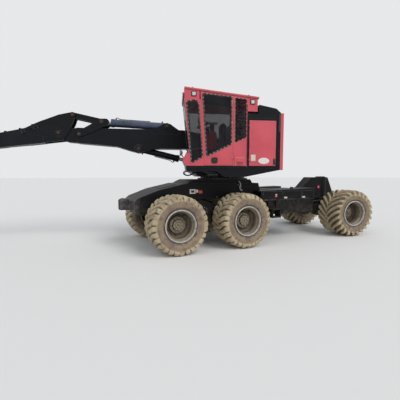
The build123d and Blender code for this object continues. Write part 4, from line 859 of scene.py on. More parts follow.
def cab_lining():
    """Dark trim panels inside the cab's walls and door and under its roof."""
    def under_roof(a, b, out=0.0):
        return roof_face(a, b, -ROOF_T - out)
    left = flat_face(1, SIDE_Y - WALL_T, -1)
    bag = Bag()
    for lift, outline in (
            (flat_face(1, CAB_RIGHT_Y + WALL_T, 1), [(-0.24, 2.0), (0.97, 2.0), (0.97, 2.39), (-0.24, 2.67)]),
            (flat_face(0, CAB_REAR_U + WALL_T, 1), box(0.22, 1.23, 2.0, 2.67)),
            (left, [(-0.24, 2.0), (0.02, 2.0), (0.02, 2.50), (-0.24, 2.62)])):
        bag.plate(lift, outline, 0.001, 0.012, MAT)
    bag.plate(under_roof, box(-0.20, 0.95, 0.23, 1.22), 0.004, 0.016, MAT)
    bag.make("cab_lining", "upper")
    bag = Bag()
    bag.plate(left, [(0.08, 2.03), (0.66, 2.03), (0.645, 2.19), (0.10, 2.46)], 0.001, 0.012, MAT)
    bag.make("door_lining", "door")


def cab_side_fittings():
    """Mesh window frame, louvre box, lamps, the painted highlight and shadow line of the roof's lip, and the
    seams of the cab's left side.
    """
    bag = Bag()
    bag.surround(LEFT_FACE, inset(MESH_WINDOW, 0.002), 0.018, 0.0, 0.005, RUBBER)
    bag.studs(LEFT_FACE, along(inset(MESH_WINDOW, -0.010), SCREW_GAP), 0.0075, 0.005, PALE_SCREW, 0.004)
    # louvre box: a pressed hood with a raised middle, a slit and three slots, and painted highlights along
    # its top and rear edges
    u0, u1, z0, z1 = -0.230, -0.008, 1.990, 2.180
    bag.plates(LEFT_FACE, (u0, u1, z0, z1, 0.012, 0.0, 0.012, RED, 0.004),
               (u0 + 0.018, u1 - 0.03, z0 + 0.07, z1 - 0.014, 0.01, 0.011, 0.024, RED, 0.006),
               (u0 + 0.03, u1 - 0.045, z0 + 0.074, z0 + 0.082, 0, 0.0235, 0.0245, RUBBER, 0.0005),
               *[(u0 + 0.03, u1 - 0.045, z0 + dz, z0 + dz + 0.006, 0, 0.0115, 0.0135, RUBBER, 0.001)
                 for dz in (0.018, 0.035, 0.052)])
    bag.tube([LEFT_FACE(u, z1 - 0.004, 0.011) for u in (u0 + 0.004, u1 - 0.004)], 0.006, RED_LIT, 8, 1)
    bag.tube([LEFT_FACE(u1 - 0.006, z, 0.010) for z in (z1 - 0.004, z0 + 0.02)], 0.005, RED_LIT, 8, 1)
    bag.bolts(LEFT_FACE, [(u1 - 0.014, z1 - 0.03), (u1 - 0.014, z0 + 0.03)], 0.006, GALVANISED, 0.012)
    for u, z in ((0.964, 3.600), (-0.420, 3.465)):
        bag.lamp(flat_face(1, SIDE_Y + 0.012, 1), u, z, (0.036, 0.036, 0.008), (0.052, 0.052, 0.014),
                 (-0.001, 0.006, 0.005, 0.009), (0.005, 0.005, 0.011))
    # a painted shadow line under the roof's lip with a painted highlight along its edge, the seams of the
    # pressed pillars (the front one in shaded red, as painted shade) and the welds of the hinge lugs
    bag.seams(LEFT_FACE, 0.005, [(1.17, 3.708), (-0.56, 3.545)], mat=RED_SHADED, out=0.012)
    bag.seams(LEFT_FACE, 0.006, [(1.17, 3.738), (-0.56, 3.576)], mat=RED_LIT, out=0.014)
    bag.seams(LEFT_FACE, 0.004, [(-0.292, 2.0), (-0.292, 3.40)], mat=RUBBER, out=0.001)
    bag.seams(LEFT_FACE, 0.003, [(1.205, 2.118), (1.150, 2.236), (1.055, 2.296)], mat=RED_SHADED)
    bag.seams(LEFT_FACE, 0.003, *[[(0.004, z + dz), (0.004, z + dz + 0.022)] for z in HINGES_Z
                                  for dz in (-0.022, 0.0602)], mat=RED, out=0.002)
    bag.make("cab_side_fittings", "upper")


WORK_LENS = (0.044, 0.044, 0.012)
WORK_BEZEL = (0.062, 0.060, 0.016)


def cab_front_fittings():
    """Front lamps under the roof, the wiper and the toe box bolts."""
    bag = Bag()
    for y in (0.30, 0.56, 0.86, 1.12):
        bag.lamp(cab_front_face, y, 3.595, WORK_LENS, WORK_BEZEL, (0.0, 0.018, 0.017, 0.024),
                 (0.006, 0.017, 0.027))
    bag.lathe(cab_front_face(0.72, 2.325), FORWARD, [(0, 0.026), (0.018, 0.026), (0.026, 0.016)], RUBBER, 16)
    for r, line in ((0.006, ((0.72, 2.325, 0.022), (0.66, 2.55, 0.030), (0.60, 2.80, 0.026))),
                    (0.007, ((0.55, 2.48, 0.016), (0.60, 2.80, 0.017), (0.64, 3.12, 0.016)))):
        bag.tube([cab_front_face(*p) for p in line], r, RUBBER, 8, 4)
    for y in (0.24, 0.50, 0.76, 1.02, 1.22):
        bag.bolt((1.18 - 0.084 * (SIDE_Y - y) / 1.15, y, 2.055), (1, 0, 0.35), 0.010, GALVANISED)
    bag.make("cab_front_fittings", "upper")


def roof_fittings():
    """Roof panel joints, the hatch with its seal and handle, rear lamps, and lifting eyes."""
    bag = Bag()
    bag.plates(roof_face, (-0.02, 0.66, 0.38, 1.06, 0.06, 0.0, 0.010, RUBBER),
               (0.02, 0.62, 0.42, 1.02, 0.05, 0.009, 0.022, RED, 0.008))
    for y in (0.56, 0.88):
        bag.block(roof_face(-0.03, y - 0.035, 0.008), roof_face(0.035, y + 0.035, 0.034), RUBBER)
    handle = ((0.62, 0.02), (0.64, 0.045), (0.80, 0.045), (0.82, 0.02))
    bag.tube([roof_face(0.55, y, out) for y, out in handle], 0.007, GALVANISED, 8, 4)
    # seams across the roof drawn in the shaded copy of the red, as lines of painted shade
    bag.seams(roof_face, 0.003, *[[(u, CAB_RIGHT_Y - 0.01), (u, SIDE_Y + 0.005)] for u in (-0.42, 0.86)],
              mat=RED_SHADED)
    for u, y in box(-0.36, 0.98, 0.26, 1.18):
        bag.hoop(roof_face(u, y, 0.022), LEFT, [(-0.007, 0.016), (0.007, 0.016), (0.007, 0.030),
                                                (-0.007, 0.030)], RED, 20)
        bag.plate(roof_face, box_at(u, y, 0.045, 0.03, 0.01), 0.0, 0.006, RED)
    for y in (0.38, 1.08):
        bag.lamp(flat_face(0, CAB_REAR_BOX_U, -1), y, 3.41, WORK_LENS, WORK_BEZEL, (0.0, 0.016, 0.015, 0.021))
    bag.make("roof_fittings", "upper")


def lid_fittings():
    """Blank oval and square plates, latch and the pressed edge of the engine door."""
    bag = Bag()
    face = flat_face(1, LID_Y, 1)
    bag.surround(face, inset(box(-1.006, -0.359, 1.989, 3.041, 0.012), 0.014), 0.010, 0.0, 0.0035, RED)
    bag.plate(face, ellipse(-0.717, 2.101, 0.136, 0.074, 40), 0.0, 0.0022, WHITE_PLATE, 0.0008)
    bag.plates(face, (-0.510, -0.396, 2.100, 2.245, 0.006, 0.0, 0.0016, TAPE_WHITE, 0.0006),
               (-1.004, -0.952, 2.004, 2.160, 0.008, 0.0, 0.007, RUBBER),
               (-0.990, -0.966, 2.050, 2.120, 0.006, 0.006, 0.016, GREY_TRIM_AND_HIGHLIGHT))
    bag.studs(face, [(-0.978, z) for z in (2.017, 2.147)], 0.006, 0.004, GALVANISED, 0.007)
    bag.studs(face, [(-0.380, z) for z in (2.112, 2.138, 2.904, 2.930)], 0.006, 0.004, GALVANISED, 0.009)
    bag.make("lid_fittings", "engine_lid")


def hood_fittings():
    """Panel joints, corner columns in grey as a painted reflection, a painted highlight along the sides' top
    edge, bolts, side louvres, cap and exhaust of the engine hood.
    """
    bag = Bag()
    for sign in BOTH:
        face = side_face(HOOD_Y, sign)
        # corner columns drawn grey as a painted reflection
        bag.tube([face(-1.095, z, 0.002) for z in (2.78, 3.22)], 0.026, GREY_TRIM_AND_HIGHLIGHT, 12, 1)
        bag.seams(face, 0.004, [(-0.320, 3.10), (-1.120, 3.10)], mat=RUBBER)
        # a painted highlight along the hood side's top edge
        bag.seams(face, 0.006, [(-0.600, 3.402), (-1.005, 3.330), (-1.120, 3.238)], mat=GREY_TRIM_AND_HIGHLIGHT)
        bag.bolts(face, [(u, 3.155) for u in (-0.36, -0.56, -0.76, -0.96)], 0.008, DARK_STEEL)
        bag.bolts(face, [(-1.075, z) for z in (2.05, 2.35, 2.65)], 0.008, DARK_STEEL)
    right = side_face(HOOD_Y, -1)
    bag.surround(right, box(-1.0, -0.42, 2.15, 2.95, 0.03), 0.022, 0.0, 0.010, BLACK_CLEAN)
    bag.louvres(right, [2.17 + k * 0.048 for k in range(16)], -0.985, -0.435,
                ((0.0, 0.0), (0.006, 0.016), (0.010, 0.016), (0.036, 0.001)))
    for u, y in ((-0.68, 0.30), (-0.85, -0.45)):
        top = 3.41 + (u + 0.590) * 0.075 / 0.420
        bag.lathe((u, y, top - 0.02), UP, [(0, 0.062), (0.05, 0.062), (0.055, 0.05), (0.055, 0.045),
                                           (0.03, 0.045)], STEEL, 24)
    bag.tube([(u, -0.45, z) for u, z in ((-0.85, 3.34), (-0.85, 3.46), (-0.88, 3.56), (-0.95, 3.60))], 0.042,
             STEEL, 16)
    for y in (-0.9, 0.0, 0.9):
        bag.tube([(-0.592, y, 3.411), (-1.008, y, 3.337)], 0.004, GREY_TRIM_AND_HIGHLIGHT, 6, 1)
    bag.make("hood_fittings", "upper")


def counterweight_fittings():
    """Cooling grilles, bolts and reflectors at the machine's tail."""
    bag = Bag()
    face = flat_face(0, COUNTERWEIGHT_U, -1)
    for y0, y1 in ((-0.96, -0.04), (0.04, 0.96)):
        bag.surround(face, box(y0, y1, 2.30, 3.04, 0.03), 0.026, 0.0, 0.014, BLACK_CLEAN)
        bag.plate(face, box(y0, y1, 2.30, 3.04), 0.0, 0.003, RUBBER, 0.001)
        bag.louvres(face, [2.325 + k * 0.042 for k in range(17)], y0 + 0.005, y1 - 0.005,
                    ((0.0, 0.002), (0.004, 0.012), (0.008, 0.012), (0.020, 0.002)))
    bag.bolts(face, [(y, z) for y in (-1.20, 1.20) for z in (2.0, 2.4, 2.8, 3.15)]
              + [(y, 1.97) for y in (-0.7, -0.25, 0.25, 0.7)], 0.016)
    for y in (-1.12, 1.12):
        bag.plate(face, box_at(y, 2.14, 0.04, 0.06, 0.008), 0.0, 0.006, REFLECTOR)
    bag.make("counterweight_fittings", "upper")


def tank_fittings():
    """Filler cap, sight gauge, tread strips, handrail and bolts of the hydraulic tank on the right."""
    bag = Bag()
    bag.lathe((0.52, -0.95, 2.618), UP, [(0, 0.062), (0.02, 0.062), (0.022, 0.052), (0.062, 0.052),
                                         (0.070, 0.044)], DARK_STEEL, 24)
    top = flat_face(2, TANK_TOP_Z, 1)
    for y in (-1.16, -0.74):
        for u in (-0.22 + k * 0.085 for k in range(9)):
            bag.plate(top, box(u, u + 0.05, y - 0.07, y + 0.07), 0.0, 0.005, BLACK_DUSTY)
    side = flat_face(1, TANK_RIGHT_Y, -1)
    bag.plates(side, (0.60, 0.65, 2.12, 2.40, 0.012, 0.0, 0.014, DARK_STEEL),
               (0.612, 0.638, 2.15, 2.37, 0.008, 0.013, 0.017, LENS))
    panel = (-0.18, 0.46, 2.06, 2.52)
    bag.surround(side, box(*panel, 0.03), 0.012, 0.0, 0.006, BLACK_CLEAN)
    bag.bolts(side, along(inset(box(*panel), -0.03), 0.16), 0.009, DARK_STEEL)
    rail = ((0.90, 2.60), (0.90, 2.85), (0.72, 2.98), (0.10, 2.98), (-0.08, 2.86), (-0.10, 2.61))
    bag.tube([(0.80, -1.14, 2.46)] + [(u, -1.16, z) for u, z in rail], 0.016, BLACK_CLEAN, 10)
    bag.make("tank_fittings", "upper")


# body, then pins as (u, z, radius, how far out the head sits, whether it has a keeper)
PINS = {
    "upper": [(*BOOM_FOOT, 0.055, 0.250, True), (*LIFT_EYE, 0.045, 0.250, True)],
    "boom": [(*LIFT_BASE, 0.045, 0.192, False), (*STICK_JACK_BASE, 0.038, 0.190, True),
             (*ROCKER_FOOT, 0.040, 0.222, False)],
    "rocker_pair": [(*STICK_JACK_EYE, 0.048, 0.214, False)],
    "arm": [(*LINK_EYE, 0.034, 0.185, False), (*KNEE, 0.045, 0.185, False), (*WRIST, 0.052, 0.176, False),
            (*TILT_BASE, 0.028, 0.104, False)],
    "head": [(*TILT_EYE, 0.028, 0.086, False)],
}


def pin_ends(body, pins):
    """The pins' heads with their grease nipples, and keeper plates, on both sides of the boom."""
    bag = Bag()
    for u, z, r, out, keeper in pins:
        for sign in BOTH:
            face = side_face(out, sign, BOOM_Y)
            bag.lathe(face(u, z, -0.002), (0, sign, 0),
                      [(0, r + 0.010), (0.010, r + 0.010), (0.013, r + 0.006), (0.013, r * 0.55),
                       (0.009, r * 0.5)], PIN, 28)
            bag.lathe(face(u, z, 0.006), (0, sign, 0),
                      [(0, 0.009), (0.010, 0.007), (0.012, 0.009), (0.017, 0.006)], BRASS, 8)
            if keeper:
                edge = z - r
                bag.plate(face, box(u - 0.05, u + 0.05, edge - 0.028, edge + 0.014, 0.01), 0.0, 0.017,
                          BLACK_CLEAN)
                bag.bolts(face, [(u + du, edge - 0.012) for du in (-0.034, 0.034)], 0.010, DARK_STEEL, 0.017)
    bag.make(f"{body}_pin_ends", body, TO_UPPER)


def pipe_run(bag, side, points, rows, gap, r, shares):
    """Parallel pipes over (u, z) points on a face, with bolted saddle clamps at shares of the run."""
    last = len(points) - 1
    for k in range(rows):
        shift = (k - (rows - 1) / 2) * gap
        line = []
        for i, (u, z) in enumerate(points):
            run = (Vector(points[min(i + 1, last)]) - Vector(points[max(i - 1, 0)])).normalized()
            line.append(side(u - run.y * shift, z + run.x * shift, r + 0.006))
        bag.tube(line, r, BLACK_CLEAN, 8, 5)
        for end, into in ((line[0], line[1]), (line[-1], line[-2])):
            axis = (into - end).normalized()
            bag.lathe(end - axis * 0.02, axis, [(0, r * 1.1), (0.004, r * 1.6), (0.036, r * 1.6),
                                                (0.042, r * 1.15)], DARK_STEEL, 6)
    half = gap * (rows - 1) / 2
    for share in shares:
        i = min(int(share * last), last - 1)
        start, end = Vector(points[i]), Vector(points[i + 1])
        spot = start.lerp(end, share * last - i)
        run = (end - start).normalized()

        def lift(a, b, out=0.0):
            return side(spot.x + run.x * a - run.y * b, spot.y + run.y * a + run.x * b, out)
        bag.plate(lift, box(-0.022, 0.022, -half - 0.022, half + 0.022, 0.006), -0.002, 0.040,
                  BLACK_CLEAN, 0.004)
        bag.bolts(lift, [(0, gap * (k + 0.5) - half) for k in range(rows - 1)], 0.007, DARK_STEEL, 0.040)


def boom_fittings():
    """Weld beads, pin bosses, the pipes on the boom's right side and the cover on its top."""
    bag = Bag()
    for sign in BOTH:
        side = side_face(BOOM_HALF_W, sign, BOOM_Y)
        bag.seams(side, 0.005, [(0.62, 2.897), (1.10, 2.978)],
                  circle(*LIFT_BASE, 0.105, 20, -math.pi / 10)[:13])
        bag.seams(side, 0.006, [(1.90, 2.979), (3.855, 2.979)],
                  [(0.32, 2.542), (0.62, 2.502), (1.148, 2.477), (1.825, 2.477)],
                  [(2.42, 2.394), (2.85, 2.524), (3.855, 2.602)], [(3.858, 2.61), (3.858, 2.97)],
                  [(1.13, 2.90), (1.25, 2.86), (1.90, 2.855), (1.93, 2.90)])
        bag.boss(side, LIFT_BASE, -0.004, 0.012, (0.048, 0.098, 0.104))
        bag.boss(side, STICK_JACK_BASE, -0.004, 0.010, (0.060, 0.076, 0.080), 36)
        bag.bolts(side, circle(*LIFT_BASE, 0.082, 6, 0.3), 0.009, DARK_STEEL, 0.008)
    right = side_face(BOOM_HALF_W, -1, BOOM_Y)
    pipe_run(bag, right, [(0.75, 2.62), (1.6, 2.58), (2.0, 2.64), (2.5, 2.68), (2.92, 2.70)], 4, 0.044,
             0.0125, (0.12, 0.38, 0.62, 0.88))
    bag.cover(flat_face(2, BOOM_TOP_Z, 1), (2.35, 2.75, BOOM_Y - 0.10, BOOM_Y + 0.10), 0.03, 0.02, 0.09,
              0.008, 0.0, BLACK_CLEAN, 0.002, DARK_STEEL)
    bag.make("boom_fittings", "boom")


def stick_fittings():
    """Weld beads, bosses, pipes and hoses of the stick, and the bolts of its knee."""
    bag = Bag()
    for sign in BOTH:
        side = side_face(STICK_HALF_W, sign, BOOM_Y)
        arm = side_face(ARM_HALF_W, sign, BOOM_Y)
        bag.seams(side, 0.006, [(4.66, 2.594), (4.909, 2.561), (5.08, 2.540)],
                  [(4.66, 3.152), (4.847, 3.069), (5.07, 2.957)])
        bag.seams(side, 0.005, [(4.662, 2.60), (4.662, 2.90)])
        bag.seams(arm, 0.006, [(5.60, 2.476), (6.4, 2.379), (7.02, 2.304)],
                  [(5.68, 2.812), (6.4, 2.646), (7.02, 2.502)])
        bag.boss(arm, WRIST, -0.004, 0.008, (0.055, 0.092, 0.098))
        bag.boss(side, LINK_EYE, -0.003, 0.009, (0.040, 0.060, 0.064), 32)
        knee = side_face(KNEE_HALF_W, sign, BOOM_Y)
        bag.bolts(knee, circle(*KNEE, 0.092, 8, 0.3), 0.010, DARK_STEEL)
    pipe_run(bag, side_face(STICK_HALF_W, 1, BOOM_Y), [(4.78, 2.98), (5.02, 2.90), (5.16, 2.84)], 2,
             0.040, 0.012, (0.2, 0.8))
    pipe_run(bag, side_face(ARM_HALF_W, -1, BOOM_Y), [(5.70, 2.56), (6.3, 2.48), (6.9, 2.40)], 3,
             0.042, 0.012, (0.1, 0.5, 0.9))
    for y in (BOOM_Y - 0.05, BOOM_Y, BOOM_Y + 0.05):
        bag.tube([(u, y, z) for u, z in ((4.86, 3.085), (5.10, 2.968), (5.68, 2.836), (5.76, 2.814))], 0.0125,
                 HOSE, 8, 5)
    for u, z in ((4.95, 3.045), (5.25, 2.940), (5.60, 2.860)):
        bag.block((u - 0.02, BOOM_Y - 0.085, z - 0.03), (u + 0.02, BOOM_Y + 0.085, z + 0.022), BLACK_CLEAN)
    bag.make("stick_fittings", "arm")


# Cylinders of the boom: barrel's pin, rod's eye, barrel radius and length, side of the pipe, paint (the
# stick's bluish grey is a painted sky reflection)
CYLINDERS = {
    "lift": (LIFT_BASE, LIFT_EYE, 0.085, 1.100, -1, BLACK_CLEAN),
    "stick": (STICK_JACK_BASE, STICK_JACK_EYE, 0.100, 1.450, 1, BARREL_SKY_SHEEN),
    "tilt": (TILT_BASE, TILT_EYE, 0.060, 0.950, 1, BLACK_CLEAN),
}


def cylinder_fittings():
    for name, sizes in CYLINDERS.items():
        barrel_fittings(name, *sizes)


def barrel_fittings(name, base, eye, r, length, over, tone):
    """Ports, transfer pipe, bands and gland bolts of a cylinder's barrel."""
    bag = Bag()
    run = Vector((eye[0] - base[0], 0, eye[1] - base[1])).normalized()
    rise = Vector((-run.z, 0, run.x)) * (1 if run.x > 0 else -1) * over

    def at(d, out, side=0.0):
        return Vector((base[0], BOOM_Y + side, base[1])) + run * d + rise * out
    for d in (0.12, length - 0.10):
        bag.lathe(at(d, r - 0.006), rise, [(0, 0.024), (0.022, 0.024), (0.024, 0.018), (0.034, 0.018)],
                  tone, 12)
        bag.lathe(at(d, r + 0.024), rise, [(0, 0.015), (0.016, 0.015), (0.018, 0.011)], DARK_STEEL, 6)
    pipe = ((length - 0.10, 0.030), (length - 0.12, 0.050), (length - 0.18, 0.030), (length - 0.26, 0.014),
            (0.45, 0.014))
    bag.tube([at(d, r + out) for d, out in pipe], 0.010, tone, 8, 5)
    for d in (0.5, length * 0.62):
        bag.hoop(at(d, 0), run, [(-0.012, r + 0.0005), (0.012, r + 0.0005), (0.012, r + 0.0045),
                                 (-0.012, r + 0.0045)], tone, 40)
    for out, side in circle(0, 0, r - 0.006, 8):
        bag.bolt(at(length + 0.023, out, side), run, 0.009, HUB)
    bag.make(f"{name}_barrel_fittings", f"{name}_jack")


def hull_fittings():
    """Slewing ring bolts, hull tapes, a painted highlight along the side plate's rising edge, welds, towing
    eyes and covers of the front chassis.
    """
    bag = Bag()
    bag.bolts(flat_face(2, RING_FLANGE_Z, 1), circle(SWING_X, 0, 0.665, 36), 0.013)
    for sign in BOTH:
        side = side_face(HULL_Y, sign)
        bag.plates(side, (0.140, 0.296, 1.302, 1.414, 0.006, 0.0, 0.0025, TAPE_WHITE, 0.0008),
                   (0.175, 0.262, 1.330, 1.386, 0.004, 0.002, 0.0035, RUBBER, 0.0005),
                   (0.070, 0.126, 1.330, 1.400, 0.006, 0.0, 0.0025, TAPE_WHITE, 0.0008),
                   (-0.044, 0.052, 1.306, 1.380, 0.006, 0.0, 0.0025, TAPE_RED, 0.0008))
        # a painted highlight along the side plate's rising upper edge
        bag.seams(side, 0.007, [(1.575, 1.226), (1.09, 1.406), (0.44, 1.547)], mat=GREY_TRIM_AND_HIGHLIGHT)
        bag.seams(side_face(0.523, sign), 0.006, [(0.36, 1.552), (0.14, 1.648)], mat=BLACK)
        bag.bolts(side, [(x, 1.20) for x in (0.86, 0.66, 0.46, -0.46, -0.66)], 0.015)
        bag.hoop(side(1.30, 1.06), (0, sign, 0), [(0.0, 0.040), (0.014, 0.042), (0.014, 0.062), (0.0, 0.068)],
                 BLACK, 28)
        bag.cover(side, (-1.50, -1.12, 1.27, 1.47), 0.02, 0.022, 0.14, 0.008, 0.0, metal=DARK_STEEL)
        # a hose elbow clipped to the turret base's side
        bag.tube([side(x, z, out) for x, z, out in (
            (-1.10, 1.60, 0.006), (-1.13, 1.57, 0.026), (-1.15, 1.50, 0.032), (-1.13, 1.43, 0.030),
            (-1.17, 1.37, 0.024), (-1.22, 1.36, 0.006))], 0.015, TAPE_WHITE, 10)
        bag.bolts(side, [(-1.10, 1.50), (-1.19, 1.44)], 0.012, GALVANISED)
    # the nose's sloped top
    middle = Vector((0.77, 0.0, 1.478))
    slope = Vector((0.65, 0, -0.142)).normalized()
    rise = Vector((0.142, 0, 0.65)).normalized()

    def hull_top(a, b, out=0.0):
        return middle + slope * a + Vector((0, b, 0)) + rise * out
    bag.cover(hull_top, (-0.20, 0.20, -0.30, 0.30), 0.03, 0.025, 0.13, 0.009)
    bag.lathe((1.83, 0, 1.19), UP, [(-0.002, 0.046), (0.012, 0.046), (0.018, 0.040), (0.020, 0.020)],
              STEEL, 24)
    bag.make("hull_fittings", "front_frame")


def bogie_fittings():
    """Pivot caps, hub bolt rings, drain plugs and axle clamps under the front chassis."""
    bag = Bag()
    for sign in BOTH:
        hub_face = side_face(BOGIE_FACE_Y, sign)
        bag.lathe((0, sign * 0.729, BOGIE_PIVOT_Z), (0, sign, 0),
                  [(0, 0.112), (0.014, 0.112), (0.020, 0.100), (0.022, 0.04), (0.030, 0.036)],
                  BLACK_DUSTY, 36)
        bag.bolts(side_face(0.748, sign), circle(0, BOGIE_PIVOT_Z, 0.088, 8, 0.2), 0.012)
        bag.bolts(side_face(0.169, sign), circle(0, BOGIE_PIVOT_Z, 0.215, 16), 0.010)
        for x in (-BOGIE_WHEEL_X, BOGIE_WHEEL_X):
            bag.bolts(hub_face, circle(x, TYRE_R, 0.170, 14), 0.012)
        for x in (-0.5, 0.5):
            bag.lathe(hub_face(x, 0.78), (0, sign, 0),
                      [(0, 0.030), (0.010, 0.030), (0.012, 0.02), (0.024, 0.018)], STEEL, 6)
            bag.seams(hub_face, 0.006, [(x * 1.5, 0.92), (x * 0.5, 1.08)], mat=BLACK_DUSTY, out=0.003)
    bag.bolts(flat_face(2, 0.935, -1), box_at(0, 0, 0.16, 0.30), 0.018)
    bag.make("bogie_fittings", "front_frame")


def rear_frame_fittings():
    """Box lids, latches, plates, reflectors, step treads, post cap, welds, and painted highlights along the
    beam's top edge and ledge behind the turret.
    """
    bag = Bag()
    for sign in BOTH:
        side = side_face(SIDE_BOX_Y, sign)
        for x0, x1 in ((-2.30, -1.66), (-2.96, -2.36), (-3.42, -3.02)):
            bag.surround(side, box(x0, x1, 1.118, 1.322, 0.016), 0.010, 0.0, 0.004, BLACK)
        for x0, x1 in ((-2.62, -2.06), (-3.38, -2.70)):
            bag.plates(side_face(SIDE_BOX_Y - 0.03, sign),
                       (x0, x1, 0.742, 1.060, 0.02, 0.0, 0.007, BLACK, 0.003),
                       *[(x - 0.02, x + 0.02, 1.030, 1.075, 0.006, 0.004, 0.024, DARK_STEEL)
                         for x in (x0 + 0.14, x1 - 0.14)])
        bag.plates(side, (-2.118, -2.048, 1.170, 1.216, 0.006, 0.0, 0.006, REFLECTOR),
                   (-2.118, -2.060, 1.222, 1.252, 0.005, 0.0, 0.003, TAPE_WHITE, 0.001),
                   (-1.80, -1.71, 1.100, 1.112, 0.003, 0.0, 0.003, TAPE_RED, 0.001),
                   *[(x - 0.055, x + 0.055, 1.128, 1.170, 0.005, 0.0, 0.003, TAPE_WHITE, 0.001)
                     for x in (-2.409, -3.051)])
        bag.bolts(side, [(x, 1.33) for x in (-1.68, -2.0, -2.35, -2.7, -3.05, -3.35)], 0.008, DARK_STEEL)
        # painted highlights along the beam's top edge and the ledge of the lower box
        bag.seams(side, 0.006, [(-1.60, 1.345), (-3.46, 1.395)], [(-1.60, 1.091), (-3.46, 1.091)],
                  mat=GREY_TRIM_AND_HIGHLIGHT)
        neck = side_face(NECK_HALF_W, sign)
        bag.plate(neck, box(-4.42, -4.35, 1.34, 1.42, 0.01), 0.0, 0.006, REFLECTOR)
        bag.seams(neck, 0.006, [(-3.70, 1.375), (-4.05, 1.692)], mat=BLACK)
        hose = ((-3.62, 0.10, 1.30), (-3.75, 0.12, 1.22), (-3.80, 0.17, 1.10), (-3.68, 0.20, 1.02))
        bag.tube([(x, sign * y, z) for x, y, z in hose], 0.013, HOSE)
    bag.lathe((-2.75, 0.74, 1.37), UP, [(0, 0.055), (0.012, 0.055), (0.014, 0.046), (0.052, 0.046),
                                        (0.060, 0.038)], DARK_STEEL, 24)
    bag.lathe((KINGPIN_X, 0, POST_TOP_Z), UP, [(-0.002, 0.152), (0.012, 0.152), (0.018, 0.144),
                                               (0.020, 0.05)], BLACK, 48)
    bag.bolts(flat_face(2, POST_TOP_Z + 0.016, 1), circle(KINGPIN_X, 0, 0.120, 10), 0.014)
    bag.lathe((KINGPIN_X, 0, POST_TOP_Z + 0.018), UP,
              [(0, 0.012), (0.012, 0.009), (0.016, 0.012), (0.024, 0.006)], BRASS, 8)
    for x0, x1 in ((-2.45, -1.95), (-3.30, -2.62)):
        bag.cover(flat_face(2, BEAM_TOP_Z, 1), (x0, x1, -0.34, 0.34), 0.03, 0.025, 0.15, 0.009)
    # serrated treads on the boarding step
    for z in (0.667, 0.877):
        for y in (0.93, 0.99, 1.05):
            for k in range(10):
                bag.lathe((-2.085 + k * 0.027, y, z), UP, [(0, 0.008), (0.005, 0.006), (0.007, 0.003)],
                          BLACK_DUSTY, 4)
    bag.make("rear_frame_fittings", "front_frame")


def steer_fittings():
    """Saddle bolts, axle housing bolts and the pins of the steering ears."""
    bag = Bag()
    for sign in BOTH:
        bag.bolts(side_face(0.559, sign), circle(0, TYRE_R, 0.180, 12), 0.012)
        bag.bolts(side_face(0.1795, sign), circle(0, TYRE_R, 0.215, 14), 0.010)
        bag.bolts(side_face(0.261, sign), box(-0.15, 0.15, 0.86, 0.95), 0.016)
        bag.lathe((0, sign * 0.455, 0.9785), UP, [(0, 0.034), (0.012, 0.034), (0.015, 0.028)], PIN, 20)
        bag.bolt((0, sign * 0.455, 0.990), UP, 0.011)
    bag.make("steer_fittings", "steer")


def deck_fittings():
    """Valve block, hoses and work lamp under the cab's front, and the welds of the boom tower."""
    bag = Bag()
    bag.bolts(flat_face(0, 0.90, 1), [(y, 1.89) for y in (-1.2, -0.9, 0.6, 0.9, 1.2)], 0.012)
    bag.block((0.30, 0.60, 1.742), (0.56, 0.92, 1.842), GREY_TRIM_AND_HIGHLIGHT, 0.008)
    for x in (0.335 + k * 0.048 for k in range(5)):
        bag.lathe((x, 0.92, 1.792), LEFT, [(0, 0.017), (0.03, 0.017), (0.034, 0.012)], GALVANISED, 6)
        bag.tube([(x, 0.94, 1.792), (x + 0.004, 1.02, 1.79), (x + 0.03, 1.10, 1.80), (x + 0.10, 1.14, 1.815),
                  (x + 0.22, 1.15, 1.836)], 0.011, HOSE, 8, 5)
    lamp = (1.17, 0.17, 2.35)
    bag.lathe(lamp, FORWARD, [(-0.05, 0.030), (-0.034, 0.060), (0.0, 0.074), (0.022, 0.076), (0.022, 0.068)],
              GALVANISED, 28)
    bag.lathe(lamp, FORWARD, [(0.014, 0.069), (0.024, 0.066), (0.030, 0.042), (0.031, 0.010)], LENS, 28)
    bag.tube([(1.075, 0.17, 2.205), (1.12, 0.17, 2.26), (1.15, 0.17, 2.30)], 0.012, BLACK_CLEAN, 8, 4)
    # hoses that loop out of the deck's front and back under it
    for y in (0.17, 0.23, 0.29):
        loop = ((0.895, 1.885), (0.98, 1.886), (1.07, 1.858), (1.095, 1.80), (1.02, 1.757),
                (0.93, 1.765), (0.83, 1.815))
        bag.tube([(u, y, z) for u, z in loop], 0.017, GREY_TRIM_AND_HIGHLIGHT, 10)
        bag.lathe((0.898, y, 1.885), (1, 0, 0.01), [(0, 0.026), (0.03, 0.026), (0.034, 0.019)], GALVANISED, 6)
        bag.lathe((1.075, y, 1.852), (0.6, 0, -1), [(-0.02, 0.024), (0.03, 0.024), (0.034, 0.018)],
                  GALVANISED, 6)
    for sign in BOTH:
        tower = side_face(TOWER_HALF_W, sign, BOOM_Y)
        bag.seams(tower, 0.006, [(0.849, 1.935), (0.79, 2.150), (0.45, 2.829), (0.17, 2.849), (-0.06, 2.50),
                                 (-0.178, 1.935)])
        bag.boss(tower, BOOM_FOOT, -0.003, 0.014, (0.058, 0.096, 0.102))
        bag.boss(tower, LIFT_EYE, -0.003, 0.014, (0.048, 0.080, 0.086))
        bag.bolts(tower, [(0.10, 2.02), (0.10, 2.20), (0.10, 2.38), (-0.05, 2.02)], 0.011)
    bag.make("deck_fittings", "upper")


